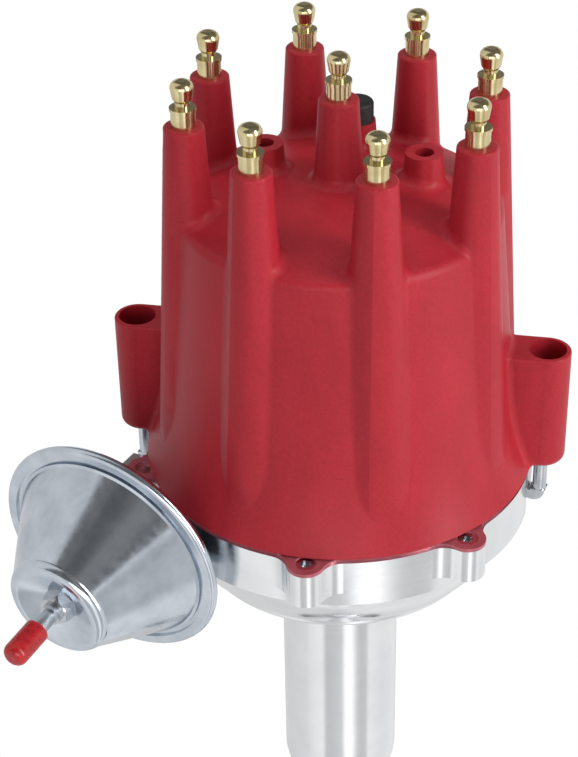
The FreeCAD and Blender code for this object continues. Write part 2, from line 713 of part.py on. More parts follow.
def upper_washer():
    """Thin washer on top of the hub, under the advance sleeve."""
    return ring(WASHER_RADIUS, SHAFT_RADIUS + HOLE_GAP, HUB_TOP_Z, HUB_TOP_Z + UPPER_WASHER_THICK)


def centre_cam():
    """Oval cam fixed to the shaft's top, with a post for each advance spring."""
    low = WEIGHT_Z
    high = low + CAM_THICK
    half = CAM_LENGTH - CAM_WIDTH
    cam = fuse([
        cylinder(CAM_WIDTH, low, high, vec(0, half)),
        cylinder(CAM_WIDTH, low, high, vec(0, -half)),
        block(-CAM_WIDTH, CAM_WIDTH, -half, half, low, high),
    ])
    cam = cam.cut(cylinder(JOURNAL_RADIUS, low - 1, high + 1))
    post = cylinder(SPRING_POST_RADIUS, high - 1, spring_z() + 1.6, vec(0, SPRING_POST_CIRCLE))
    return fuse([cam] + around(post, 2))


def spring_z():
    """Height of the advance springs' middle, just above the weights."""
    return WEIGHT_Z + WEIGHT_THICK + ADVANCE_SPRING_RADIUS + ADVANCE_WIRE_RADIUS + 0.4


def advance_base():
    """Plate that carries the weights, on the sleeve that turns on the shaft's top."""
    plate = cylinder(ADVANCE_BASE_RADIUS, ADVANCE_BASE_Z, ADVANCE_BASE_Z + ADVANCE_BASE_THICK)
    sleeve = cylinder(SLEEVE_RADIUS, SLEEVE_Z, ADVANCE_BASE_Z + 1)
    base = fuse([plate, sleeve] + around(rotor_post(), 2))
    notch = cylinder(7.5, ADVANCE_BASE_Z - 1, WEIGHT_Z, polar(ADVANCE_BASE_RADIUS + 1, 55))
    for cut in around(notch, 2):
        base = base.cut(cut)
    base = base.cut(cylinder(SLEEVE_BORE, SLEEVE_Z - 1, WEIGHT_Z + 1))
    for hole in rotor_screw_shanks() + weight_pin_shapes():
        base = base.cut(hole)
    return base


def rotor_post():
    """Post that stands on the advance base and carries the rotor."""
    return cylinder(ROTOR_POST_RADIUS, ADVANCE_BASE_Z, RIM_Z + ROTOR_BASE_HEIGHT,
                    polar(ROTOR_POST_CIRCLE, ROTOR_POST_ANGLE))


def rotor_screw_shanks():
    """Shanks of the rotor's two screws."""
    top = RIM_Z + ROTOR_BASE_HEIGHT + ROTOR_BASE_THICK
    shank = cylinder(SCREW_RADIUS, top - SCREW_LENGTH, top, polar(ROTOR_POST_CIRCLE, ROTOR_POST_ANGLE))
    return around(shank, 2)


def rotor_screws():
    """Pan-head screws that hold the rotor on its posts."""
    top = RIM_Z + ROTOR_BASE_HEIGHT + ROTOR_BASE_THICK
    centre = polar(ROTOR_POST_CIRCLE, ROTOR_POST_ANGLE)
    head = cylinder(SCREW_HEAD_RADIUS, top, top + 1.8, centre)
    slot = block(centre.x - 4, centre.x + 4, centre.y - 0.4, centre.y + 0.4, top + 0.9, top + 3)
    head = head.cut(slot)
    screws = [head.fuse(rotor_screw_shanks()[0])]
    screws.append(turned(screws[0], 180))
    return Part.makeCompound(screws)


def weight_pin_shapes():
    """Pivot pins of the two advance weights."""
    top = spring_z() + 1.6
    pin = cylinder(WEIGHT_PIN_RADIUS, ADVANCE_BASE_Z, top, vec(WEIGHT_PIVOT_RADIUS, 0))
    place = vec(WEIGHT_PIVOT_RADIUS, 0)
    neck = ring(WEIGHT_PIN_RADIUS + 1, WEIGHT_PIN_RADIUS - 0.7, top - 2.4, top - 0.8, place)
    return around(pin.cut(neck), 2)


def advance_weight():
    """Crescent weight that swings out on its pin as the shaft speeds up."""
    low = WEIGHT_Z
    high = low + WEIGHT_THICK
    body = ring(WEIGHT_OUTER_RADIUS, WEIGHT_INNER_RADIUS, low, high)
    far = 3 * WEIGHT_OUTER_RADIUS
    rays = [polar(far, share * WEIGHT_SWEEP) for share in (0, 0.5, 1)]
    sector = prism([vec(0, 0)] + rays, low, high)
    middle = (WEIGHT_INNER_RADIUS + WEIGHT_OUTER_RADIUS) / 2
    half = (WEIGHT_OUTER_RADIUS - WEIGHT_INNER_RADIUS) / 2
    tip = cylinder(half, low, high, polar(middle, WEIGHT_SWEEP))
    heel = cylinder(WEIGHT_OUTER_RADIUS - WEIGHT_PIVOT_RADIUS, low, high, vec(WEIGHT_PIVOT_RADIUS, 0))
    weight = fuse([body.common(sector), tip, heel])
    pivot = vec(WEIGHT_PIVOT_RADIUS, 0)
    return weight.cut(cylinder(WEIGHT_PIN_RADIUS + RUNNING_FIT, low - 1, high + 1, pivot))


def advance_spring():
    """Light tension spring from the cam's post to a weight pin."""
    start = vec(0, SPRING_POST_CIRCLE)
    end = vec(WEIGHT_PIVOT_RADIUS, 0)
    span = (end - start).Length
    turns = 9
    hook = ADVANCE_SPRING_RADIUS + WEIGHT_PIN_RADIUS
    length = span - 2 * hook
    body = coil(ADVANCE_SPRING_RADIUS, ADVANCE_WIRE_RADIUS, 0, length, turns)
    hooks = []
    for centre, z, post in ((-hook, 0, SPRING_POST_RADIUS), (length + hook, length, WEIGHT_PIN_RADIUS - 0.7)):
        loop_radius = post + ADVANCE_WIRE_RADIUS + 0.1
        loop = Part.makeTorus(loop_radius, ADVANCE_WIRE_RADIUS, vec(0, 0, centre), vec(0, 1, 0))
        hooks.append(loop)
    spring = Part.makeCompound([body] + hooks)
    direction = (end - start).normalize()
    turn = FreeCAD.Rotation(vec(0, 1, 0), UP, direction, "YZX")
    spring.Placement = FreeCAD.Placement(vec(start.x, start.y, spring_z()) + direction * hook, turn)
    return spring


def reluctor():
    """Trigger wheel with one tooth for each cylinder, pressed on the advance sleeve."""
    low = SLEEVE_Z + 1.0
    high = low + RELUCTOR_THICK
    tooth = block(0, RELUCTOR_TIP_RADIUS, -RELUCTOR_TOOTH_WIDTH / 2, RELUCTOR_TOOTH_WIDTH / 2, low, high)
    wheel = fuse([cylinder(RELUCTOR_ROOT_RADIUS, low, high)] + around(tooth, CYLINDERS))
    wheel = wheel.common(cylinder(RELUCTOR_TIP_RADIUS, low, high))
    boss = cylinder(SLEEVE_RADIUS + 2.5, high - 1, high + 3)
    wheel = fuse([wheel, boss])
    return wheel.cut(cylinder(SLEEVE_RADIUS, low - 1, high + 5))


def pickup_plate():
    """Plate that turns on the hub and carries the pickup, moved by the canister's rod."""
    low = PICKUP_PLATE_Z
    high = low + PICKUP_PLATE_THICK
    miss = rod_foot()[1]
    pin = rod_pin_place()
    ear = fuse([
        cylinder(3.6, low, high, pin),
        prism([polar(16, rod_pin_angle() - 14), polar(miss, rod_pin_angle() - 5),
               polar(miss, rod_pin_angle() + 5), polar(16, rod_pin_angle() + 14)], low, high),
    ])
    plate = fuse([cylinder(PICKUP_PLATE_RADIUS, low, high), ear])
    plate = plate.cut(cylinder(HUB_JOURNAL_RADIUS + RUNNING_FIT, low - 1, high + 1))
    for angle in (-150.0, -60.0, 0.0):
        plate = plate.cut(cylinder(4.2, low - 1, high + 1, polar(25.0, angle)))
    plate = plate.cut(rod_pin())
    for screw in sensor_screw_shanks():
        plate = plate.cut(screw)
    return plate


def rod_pin_angle():
    """Angle of the plate's pin at rest: half its turn before the rod's nearest point."""
    nearest = CAN_NOSE_AZIMUTH - 90
    return nearest - PLATE_TURN_DEGREES / 2


def rod_pin_place():
    """Where the plate's pin stands at rest."""
    return polar(rod_foot()[1], rod_pin_angle())


def rod_height(inward):
    """Height of the rod's middle at a distance in from the flange's plane."""
    return RIM_Z - CAN_DROP + inward * math.tan(math.radians(CAN_NOSE_DIP))


def rod_pin():
    """Upright pin on the pickup plate that the rod's eye goes over."""
    top = rod_height(rod_foot()[0]) + 2.0
    return cylinder(ROD_PIN_RADIUS, PICKUP_PLATE_Z, top, rod_pin_place())


def plate_retainer():
    """Snap ring that keeps the pickup plate on its hub."""
    low = retainer_z()
    inner = HUB_JOURNAL_RADIUS - RETAINER_GROOVE
    clip = ring(inner + RETAINER_WIDTH, inner, low, low + RETAINER_THICK)
    gap = block(0, inner + RETAINER_WIDTH + 1, -3.0, 3.0, low - 1, low + 3)
    return clip.cut(turned(gap, -60))


def pickup_sensor():
    """Magnetic pickup that reads the trigger wheel's teeth."""
    low = PICKUP_PLATE_Z + PICKUP_PLATE_THICK
    face = RELUCTOR_TIP_RADIUS + PICKUP_GAP
    half = PICKUP_WIDTH / 2
    body = block(face + 2, face + 9, -half, half, low, low + PICKUP_HEIGHT)
    pole = block(face, face + 3, -2.0, 2.0, low + 3.0, low + PICKUP_HEIGHT - 1.0)
    foot = block(face + 2, PICKUP_PLATE_RADIUS - 0.5, -half - 5, half + 5, low, low + 1.6)
    sensor = fuse([body.common(cylinder(PICKUP_PLATE_RADIUS + 1, low, low + 20)), pole, foot])
    sensor = turned(sensor, PICKUP_ANGLE)
    for screw in sensor_screw_shanks():
        sensor = sensor.cut(screw)
    return sensor


def sensor_screw_places():
    """Where the pickup's two screws stand."""
    radius = RELUCTOR_TIP_RADIUS + PICKUP_GAP + 5.0
    spread = PICKUP_WIDTH / 2 + 2.6
    return [turned_point(vec(radius, y), PICKUP_ANGLE) for y in (-spread, spread)]


def turned_point(point, degrees):
    """A point turned about the shaft axis."""
    return FreeCAD.Rotation(UP, degrees).multVec(point)


def sensor_screw_shanks():
    """Shanks of the pickup's two screws."""
    low = PICKUP_PLATE_Z
    top = PICKUP_PLATE_Z + PICKUP_PLATE_THICK + 1.6
    return [cylinder(1.1, low, top, place) for place in sensor_screw_places()]


def sensor_screws():
    """Small pan-head screws that hold the pickup."""
    top = PICKUP_PLATE_Z + PICKUP_PLATE_THICK + 1.6
    screws = []
    for place, shank in zip(sensor_screw_places(), sensor_screw_shanks()):
        head = cylinder(2.0, top, top + 1.4, place)
        slot = block(place.x - 3, place.x + 3, place.y - 0.3, place.y + 0.3, top + 0.8, top + 2)
        screws.append(head.cut(slot).fuse(shank))
    return Part.makeCompound(screws)


def ignition_module():
    """Potted ignition module that lies on the bowl's floor."""
    low = FLOOR_Z
    high = low + MODULE_HEIGHT
    steps = 6
    span = MODULE_END - MODULE_START
    body = ring(MODULE_OUTER, MODULE_INNER, low, high)
    far = 2.2 * MODULE_OUTER
    sector = [vec(0, 0)] + [polar(far, MODULE_START + span * k / steps) for k in range(steps + 1)]
    body = body.common(prism(sector, low, high))
    for screw in module_screw_shapes():
        body = body.cut(screw)
    return body


def module_screw_places():
    """Where the module's two screws stand."""
    middle = (MODULE_INNER + MODULE_OUTER) / 2
    return [polar(middle, MODULE_START + 12), polar(middle, MODULE_END - 12)]


def module_screw_shapes():
    """Shanks of the module's screws, from the top of the module into the floor."""
    top = FLOOR_Z + MODULE_HEIGHT
    return [cylinder(SCREW_RADIUS, FLOOR_Z - 3.0, top, place) for place in module_screw_places()]


def module_screws():
    """Pan-head screws that hold the module down."""
    top = FLOOR_Z + MODULE_HEIGHT
    screws = []
    for place, shank in zip(module_screw_places(), module_screw_shapes()):
        head = cylinder(SCREW_HEAD_RADIUS, top, top + 1.5, place)
        slot = block(place.x - 3.5, place.x + 3.5, place.y - 0.35, place.y + 0.35, top + 0.8, top + 2)
        screws.append(head.cut(slot).fuse(shank))
    return Part.makeCompound(screws)


def rotor():
    """Moulded rotor: round base, tapered column and an arm that carries the blade."""
    low = RIM_Z + ROTOR_BASE_HEIGHT
    high = low + ROTOR_BASE_THICK
    top = RIM_Z + ROTOR_TOP_HEIGHT
    base = cylinder(ROTOR_BASE_RADIUS, low, high)
    column = Part.makeCone(17.0, 9.5, top - high + 1, vec(0, 0, high - 1))
    arm = block(0, ROTOR_TIP_RADIUS - 2.5, -ROTOR_ARM_WIDTH / 2, ROTOR_ARM_WIDTH / 2, top - 5, top)
    arm = arm.common(cylinder(ROTOR_TIP_RADIUS - 2.5, top - 6, top + 1))
    gusset = prism_xz([(8, top - 5), (ROTOR_TIP_RADIUS - 5, top - 5), (8, high)], -1.8, 1.8)
    tail = block(-13, 0, -ROTOR_ARM_WIDTH / 2, ROTOR_ARM_WIDTH / 2, top - 5, top)
    body = fuse([base, column, arm, gusset, tail])
    body = body.cut(cylinder(11.5, low - 1, high + 1))
    body = body.cut(Part.makeCone(13.5, 5.5, top - 6 - low, vec(0, 0, low)))
    for screw in rotor_screw_shanks():
        body = body.cut(screw)
    return body


def prism_xz(points, y_low, y_high):
    """A prism on an outline of (x, z) points, between two planes of Y."""
    base = [vec(x, y_low, z) for x, z in points]
    face = Part.Face(Part.makePolygon(base + [base[0]]))
    return face.extrude(vec(0, y_high - y_low, 0))


def rotor_blade():
    """Flat blade that carries the spark from the centre to the towers."""
    low = RIM_Z + ROTOR_TOP_HEIGHT
    blade = block(-12, ROTOR_TIP_RADIUS, -BLADE_WIDTH / 2, BLADE_WIDTH / 2, low, low + BLADE_THICK)
    return blade.common(cylinder(ROTOR_TIP_RADIUS, low, low + BLADE_THICK))


def contact_spring():
    """Leaf spring that lies on the blade's tail and rises to meet the carbon button."""
    low = RIM_Z + ROTOR_TOP_HEIGHT + BLADE_THICK
    high = RIM_Z + BUTTON_TIP_HEIGHT - CONTACT_THICK
    half = CONTACT_WIDTH / 2
    under = [(-11.5, low), (-5.0, low), (-1.4, high), (2.6, high)]
    over = [(x - 0.3, z + CONTACT_THICK) for x, z in reversed(under[1:3])]
    outline = under + [(2.6, high + CONTACT_THICK)] + over + [(-11.5, low + CONTACT_THICK)]
    return prism_xz(outline, -half, half)


def cap_body():
    """The cap's turned body: a flared foot, a tapered wall and a shallow domed crown."""
    foot = vec(CAP_RIM_RADIUS - CAP_RIM_EDGE, 0, 0)
    rim = vec(CAP_RIM_RADIUS, 0, CAP_RIM_EDGE)
    flare = vec(CAP_FLARE_RADIUS, 0, CAP_FLARE_HEIGHT)
    shoulder = vec(CAP_SHOULDER_RADIUS, 0, CAP_SHOULDER_HEIGHT)
    crown = vec(0, 0, CAP_CROWN_HEIGHT)
    crown_drop = (CAP_CROWN_HEIGHT - CAP_SHOULDER_HEIGHT) * CAP_CROWN_FULLNESS
    crown_middle = vec(CAP_SHOULDER_RADIUS / 2, 0, CAP_CROWN_HEIGHT - crown_drop)
    # The flare is an arc that meets the tapered wall along the wall's own slope.
    wall = (shoulder - flare).normalize()
    outward = vec(wall.z, 0, -wall.x)
    chord = rim - flare
    radius = chord.dot(chord) / (2 * chord.dot(outward))
    centre = flare + outward * radius
    flare_middle = centre + ((rim + flare) * 0.5 - centre).normalize() * radius
    return revolve_edges([
        Part.Arc(rim, flare_middle, flare).toShape(),
        Part.LineSegment(flare, shoulder).toShape(),
        Part.Arc(shoulder, crown_middle, crown).toShape(),
        Part.LineSegment(crown, vec(0, 0)).toShape(),
        Part.LineSegment(vec(0, 0), foot).toShape(),
        Part.LineSegment(foot, rim).toShape(),
    ])


def meeting_edges(shape):
    """The curved edges where towers, posts and body meet, and the shoulder's edge between towers."""
    chosen = []
    for edge in shape.Edges:
        if edge.Degenerated:
            continue
        middle = edge.valueAt((edge.FirstParameter + edge.LastParameter) / 2)
        reach = math.hypot(middle.x, middle.y)
        on_shoulder = abs(reach - CAP_SHOULDER_RADIUS) < 0.1 and edge.BoundBox.ZLength < 0.01
        crossing = edge.Curve.TypeId == "Part::GeomBSplineCurve" and edge.Length > 1.0
        if crossing or (on_shoulder and middle.z > CAP_FLARE_HEIGHT + 1):
            chosen.append(edge)
    return chosen


def ear_edges(shape):
    """The edges where an ear's flat flanks and top run into the cap's wall."""
    chosen = []
    for edge in shape.Edges:
        if edge.Degenerated:
            continue
        middle = edge.valueAt((edge.FirstParameter + edge.LastParameter) / 2)
        box = edge.BoundBox
        at_flank = abs(abs(middle.y) - EAR_HALF_WIDTH) < 0.05 and box.ZLength > 3
        on_top_face = abs(middle.z - EAR_TOP) < 0.05 and edge.Length > 3
        at_top = on_top_face and abs(middle.y) < EAR_HALF_WIDTH - EAR_EDGE
        inside = abs(middle.x) < EAR_RADIUS - 2 and box.ZMin > EAR_BOTTOM - 0.1 and box.ZMax < EAR_TOP + 0.1
        if inside and (at_flank or at_top) and "Line" not in edge.Curve.TypeId:
            chosen.append(edge)
    return chosen


def cap_cavity():
    """The space inside the cap, a wall's thickness inside the outer outline."""
    rim = CAP_RIM_RADIUS - CAP_RIM_WALL
    space = revolve([
        (0, -1), (rim, -1), (rim, 6), (CAP_FLARE_RADIUS - CAP_WALL, CAP_FLARE_HEIGHT),
        (CAP_SHOULDER_RADIUS - CAP_WALL, CAP_SHOULDER_HEIGHT - CAP_CROWN_WALL - 3),
        (CAP_SHOULDER_RADIUS - CAP_WALL - 4, CAP_SHOULDER_HEIGHT - CAP_CROWN_WALL),
        (0, CAP_CROWN_HEIGHT - CAP_CROWN_WALL),
    ])
    boss_bottom = ELECTRODE_BOTTOM + ELECTRODE_HEIGHT - 2
    boss_radius = TERMINAL_SHANK_RADIUS + ELECTRODE_BOSS_WALL
    boss = cylinder(boss_radius, boss_bottom, CAP_CROWN_HEIGHT, polar(TOWER_CIRCLE, TOWER_FIRST_ANGLE))
    for electrode_boss in around(boss, CYLINDERS):
        space = space.cut(electrode_boss)
    return space


def edges_at(shape, height):
    """The edges that lie level at a height."""
    chosen = []
    for edge in shape.Edges:
        box = edge.BoundBox
        if box.ZLength < 0.01 and abs(box.ZMin - height) < 0.01:
            chosen.append(edge)
    return chosen


def tower(top_height):
    """One tapered tower that runs down the cap's side as a rib."""
    length = top_height - TOWER_FOOT_HEIGHT
    foot_radius = TOWER_TOP_RADIUS + TOWER_TAPER * length
    cone = Part.makeCone(foot_radius, TOWER_TOP_RADIUS, length, vec(0, 0, TOWER_FOOT_HEIGHT))
    return cone.makeFillet(TOWER_EDGE, edges_at(cone, top_height))


def outer_tower():
    """An outer tower in its first place."""
    cone = tower(TOWER_TOP_HEIGHT)
    place = polar(TOWER_CIRCLE, TOWER_FIRST_ANGLE)
    cone.translate(place)
    return cone


def centre_tower():
    """The coil lead's tower in the middle of the crown."""
    cone = tower(CENTRE_TOWER_TOP_HEIGHT)
    return cone.common(cylinder(20, CAP_SHOULDER_HEIGHT, CENTRE_TOWER_TOP_HEIGHT + 1))


def vent_post(angle, distance):
    """Short round post on the crown, slightly flared at its foot."""
    place = polar(distance, angle)
    foot = CAP_CROWN_HEIGHT - VENT_ROOT
    base = vec(place.x, place.y, foot)
    return Part.makeCone(VENT_RADIUS + VENT_FLARE, VENT_RADIUS, VENT_TOP_HEIGHT - foot, base)


def ear():
    """The boss on the cap's side that holds a latch."""
    boss = cylinder(EAR_HALF_WIDTH, EAR_BOTTOM, EAR_TOP, vec(EAR_RADIUS, 0))
    web_start = CAP_SHOULDER_RADIUS - CAP_WALL / 2
    web = block(web_start, EAR_RADIUS, -EAR_HALF_WIDTH, EAR_HALF_WIDTH, EAR_BOTTOM, EAR_TOP)
    shape = fuse([boss, web])
    bottom = [edge for edge in edges_at(shape, EAR_BOTTOM) if edge.BoundBox.XMax > CAP_SHOULDER_RADIUS]
    shape = shape.makeFillet(EAR_FOOT_FILLET, bottom)
    top = [edge for edge in edges_at(shape, EAR_TOP) if edge.BoundBox.XMax > CAP_SHOULDER_RADIUS]
    return shape.makeFillet(EAR_EDGE, top)


def ear_holes():
    """The deep well of a latch and the smaller hole for its stem."""
    well = cylinder(WELL_RADIUS, WELL_FLOOR, EAR_TOP + 1, vec(EAR_RADIUS, 0))
    stem = cylinder(STEM_RADIUS + STEM_GAP, EAR_BOTTOM - 1, WELL_FLOOR + 1, vec(EAR_RADIUS, 0))
    return fuse([well, stem])


def on_rim(shape):
    """Move a shape drawn from the rim's height up to its place."""
    copy = shape.copy()
    copy.translate(vec(0, 0, RIM_Z))
    return copy


def distributor_cap():
    """Moulded cap: tapered body, eight towers that run into ribs, centre tower, vents and ears."""
    outside = [cap_body()] + around(outer_tower(), CYLINDERS) + [centre_tower()]
    outside += [vent_post(angle, distance) for angle, distance in OPEN_VENTS + [PLUGGED_VENT]]
    cap = fuse(outside)
    cap = cap.makeFillet(MOULDED_FILLET, meeting_edges(cap))
    cap = fuse([cap] + around(ear(), 2))
    cap = cap.makeFillet(EAR_FILLET, ear_edges(cap))
    boss = cylinder(BUTTON_BOSS_RADIUS, BUTTON_BOSS_BOTTOM, CAP_CROWN_HEIGHT - 1)
    cap = cap.cut(cap_cavity())
    cap = fuse([cap, boss])
    for holes in around(ear_holes(), 2):
        cap = cap.cut(holes)
    for angle, distance in OPEN_VENTS:
        place = polar(distance, angle)
        cap = cap.cut(cylinder(VENT_BORE_RADIUS, BUTTON_BOSS_BOTTOM - 10, VENT_TOP_HEIGHT + 1, place))
    plug = polar(PLUGGED_VENT[1], PLUGGED_VENT[0])
    cap = cap.cut(cylinder(VENT_BORE_RADIUS, BUTTON_BOSS_BOTTOM - 10, VENT_TOP_HEIGHT + 1, plug))
    cap = cap.cut(cylinder(BUTTON_RADIUS + HOLE_GAP, BUTTON_BOSS_BOTTOM - 1, CENTRE_INSERT_BOTTOM))
    cap = cap.cut(centre_insert())
    for insert in around(outer_insert(), CYLINDERS):
        cap = cap.cut(insert)
    return on_rim(cap)


def terminal_top(base):
    """The turned brass end above a tower: base, ring, neck and rounded knob."""
    ring_low = base + TERMINAL_BASE_HEIGHT
    ring_high = ring_low + TERMINAL_RING_HEIGHT
    neck_high = ring_high + TERMINAL_NECK_HEIGHT
    top = base + TERMINAL_HEIGHT
    knob_low = neck_high + 0.8
    knob_high = top - 1.9
    corners = [
        vec(0, 0, base), vec(TERMINAL_BASE_RADIUS, 0, base), vec(TERMINAL_BASE_RADIUS, 0, ring_low),
        vec(TERMINAL_RING_RADIUS, 0, ring_low), vec(TERMINAL_RING_RADIUS, 0, ring_high),
        vec(TERMINAL_NECK_RADIUS, 0, ring_high), vec(TERMINAL_NECK_RADIUS, 0, neck_high),
        vec(TERMINAL_KNOB_FOOT_RADIUS, 0, knob_low), vec(TERMINAL_KNOB_RADIUS, 0, knob_high),
    ]
    edges = [Part.LineSegment(a, b).toShape() for a, b in zip(corners, corners[1:])]
    flat = vec(1.1, 0, top)
    mid = vec(TERMINAL_KNOB_RADIUS - 0.45, 0, top - 0.62)
    edges.append(Part.Arc(corners[-1], mid, flat).toShape())
    edges.append(Part.LineSegment(flat, vec(0, 0, top)).toShape())
    edges.append(Part.LineSegment(vec(0, 0, top), corners[0]).toShape())
    return revolve_edges(edges)


def outer_insert():
    """Brass insert of an outer tower, with the electrode that faces the rotor's blade."""
    rod = cylinder(TERMINAL_SHANK_RADIUS, ELECTRODE_BOTTOM, TOWER_TOP_HEIGHT, vec(TOWER_CIRCLE, 0))
    top = terminal_top(TOWER_TOP_HEIGHT)
    top.translate(vec(TOWER_CIRCLE, 0))
    face = ROTOR_TIP_RADIUS + ELECTRODE_GAP
    half = ELECTRODE_WIDTH / 2
    electrode = block(face, TOWER_CIRCLE, -half, half, ELECTRODE_BOTTOM, ELECTRODE_BOTTOM + ELECTRODE_HEIGHT)
    return turned(fuse([rod, top, electrode]), TOWER_FIRST_ANGLE)


def outer_terminals():
    """The eight brass inserts of the outer towers."""
    return on_rim(Part.makeCompound(around(outer_insert(), CYLINDERS)))


def centre_insert():
    """Brass insert of the centre tower."""
    rod = cylinder(TERMINAL_SHANK_RADIUS, CENTRE_INSERT_BOTTOM, CENTRE_TOWER_TOP_HEIGHT)
    return fuse([rod, terminal_top(CENTRE_TOWER_TOP_HEIGHT)])


def carbon_button():
    """Sprung carbon button that rubs on the rotor's contact spring."""
    tip = BUTTON_TIP_HEIGHT
    body = cylinder(BUTTON_RADIUS, tip, tip + BUTTON_LENGTH)
    edge = [e for e in body.Edges if abs(e.BoundBox.ZMax - tip) < 0.01 and e.BoundBox.XLength > 1]
    return on_rim(body.makeFillet(1.0, edge))


def button_spring():
    """Small compression spring above the carbon button."""
    low = BUTTON_TIP_HEIGHT + BUTTON_LENGTH
    return on_rim(coil(BUTTON_RADIUS - 0.7, BUTTON_WIRE_RADIUS, low, CENTRE_INSERT_BOTTOM, 6))


def vent_plug():
    """Black rubber plug in the rear vent post."""
    place = polar(PLUGGED_VENT[1], PLUGGED_VENT[0])
    low = VENT_TOP_HEIGHT
    high = low + VENT_PLUG_HEIGHT
    head = cylinder(VENT_PLUG_RADIUS, low, high, place)
    edge = [e for e in head.Edges if abs(e.BoundBox.ZMin - high) < 0.01]
    head = head.makeFillet(1.2, edge)
    stem = cylinder(VENT_BORE_RADIUS - 0.05, low - VENT_PLUG_STEM, low + 1, place)
    return on_rim(fuse([head, stem]))


def latch():
    """Turn latch: slotted head, stem and a hook whose lip grips under the plate's lug."""
    head_top = LATCH_HEAD_BOTTOM + LATCH_HEAD_HEIGHT
    head = cylinder(LATCH_HEAD_RADIUS, LATCH_HEAD_BOTTOM, head_top, vec(EAR_RADIUS, 0))
    head = head.cut(block(EAR_RADIUS - 8, EAR_RADIUS + 8, -0.7, 0.7, head_top - 1.3, head_top + 1))
    outer = EAR_RADIUS + STEM_RADIUS
    inner = EAR_RADIUS - STEM_RADIUS - HOOK_SLOT - HOOK_LIP_THICK
    radius = (outer - inner) / 2
    middle = (outer + inner) / 2
    bend = -HOOK_DROP + radius
    lip_top = -PLATE_THICK - SLIP_GAP
    stem = cylinder(STEM_RADIUS, bend, LATCH_HEAD_BOTTOM + 1, vec(EAR_RADIUS, 0))
    half = HOOK_WIDTH / 2
    leg = block(inner, inner + HOOK_LIP_THICK, -half, half, bend, lip_top)
    bow = Part.makeCylinder(radius, HOOK_WIDTH, vec(middle, -half, bend), vec(0, 1, 0))
    lower_half = block(inner - 1, outer + 1, -half - 1, half + 1, bend - radius - 1, bend)
    slot_middle = EAR_RADIUS - STEM_RADIUS - HOOK_SLOT / 2
    slot = Part.makeCylinder(HOOK_SLOT / 2, HOOK_WIDTH + 2, vec(slot_middle, -half - 1, bend), vec(0, 1, 0))
    bow = bow.common(lower_half).cut(slot)
    neck = block(slot_middle + HOOK_SLOT / 2, outer, -half, half, bend, bend + 3.0)
    neck = neck.common(cylinder(STEM_RADIUS, bend, bend + 3.0, vec(EAR_RADIUS, 0)))
    hook = fuse([head, stem, bow, leg, neck])
    hook.rotate(vec(EAR_RADIUS, 0), UP, HOOK_REST_TURN)
    return on_rim(hook)


def latch_washer():
    """Washer under the latch's head, which takes the spring's push."""
    low = LATCH_HEAD_BOTTOM - LATCH_WASHER_THICK
    place = vec(EAR_RADIUS, 0)
    return on_rim(ring(LATCH_WASHER_RADIUS, STEM_RADIUS + STEM_GAP, low, LATCH_HEAD_BOTTOM, place))


def latch_spring():
    """Compression spring in the ear's well that pulls the hook up against its lug."""
    high = LATCH_HEAD_BOTTOM - LATCH_WASHER_THICK
    return on_rim(coil(LATCH_SPRING_RADIUS, LATCH_WIRE_RADIUS, WELL_FLOOR, high, 6, vec(EAR_RADIUS, 0)))


def can_front_shell():
    """Pressed steel front of the canister: crimped rim, groove, cone and dished nose."""
    sheet = CAN_SHEET
    rim_half = CAN_RIM_THICK / 2
    foot = vec(CAN_CONE_RADIUS, 0, rim_half + 0.4)
    nose = vec(CAN_NOSE_RADIUS + 1.9, 0, CAN_NOSE_HEIGHT - 2.4)
    outer = [
        vec(CAN_GROOVE_RADIUS, 0, rim_half), vec(CAN_GROOVE_RADIUS, 0, rim_half - 0.7),
        vec(CAN_GROOVE_RADIUS - 1.0, 0, rim_half - 0.7), vec(CAN_GROOVE_RADIUS - 1.2, 0, rim_half + 0.1),
        foot, nose,
    ]
    rim_low = vec(CAN_FLANGE_RADIUS - rim_half, 0, -rim_half)
    rim_mid = vec(CAN_FLANGE_RADIUS, 0, 0)
    rim_high = vec(CAN_FLANGE_RADIUS - rim_half, 0, rim_half)
    nose_mid = vec(CAN_NOSE_RADIUS + 1.1, 0, CAN_NOSE_HEIGHT - 0.55)
    nose_top = vec(CAN_NOSE_RADIUS - 1.4, 0, CAN_NOSE_HEIGHT)
    dish = vec(NIPPLE_NUT_FLATS / 2 + 0.4, 0, CAN_NOSE_HEIGHT - CAN_NOSE_DISH)
    hole = NIPPLE_RADIUS + HOLE_GAP
    inner = [
        vec(hole, 0, dish.z), vec(hole, 0, dish.z - sheet), vec(dish.x, 0, dish.z - sheet),
        vec(nose_top.x - 0.6, 0, CAN_NOSE_HEIGHT - 1.5 * sheet),
        vec(nose.x - sheet - 0.3, 0, nose.z - 0.4), vec(foot.x - sheet - 0.3, 0, 0.4),
        vec(CAN_GROOVE_RADIUS - 0.6, 0, 0.1), vec(CAN_GROOVE_RADIUS - 0.6, 0, -rim_half),
        rim_low,
    ]
    edges = [Part.Arc(rim_low, rim_mid, rim_high).toShape()]
    edges.append(Part.LineSegment(rim_high, outer[0]).toShape())
    edges += [Part.LineSegment(a, b).toShape() for a, b in zip(outer, outer[1:])]
    edges.append(Part.Arc(nose, nose_mid, nose_top).toShape())
    edges.append(Part.LineSegment(nose_top, dish).toShape())
    edges.append(Part.LineSegment(dish, inner[0]).toShape())
    edges += [Part.LineSegment(a, b).toShape() for a, b in zip(inner, inner[1:])]
    return can_frame(revolve_edges(edges))


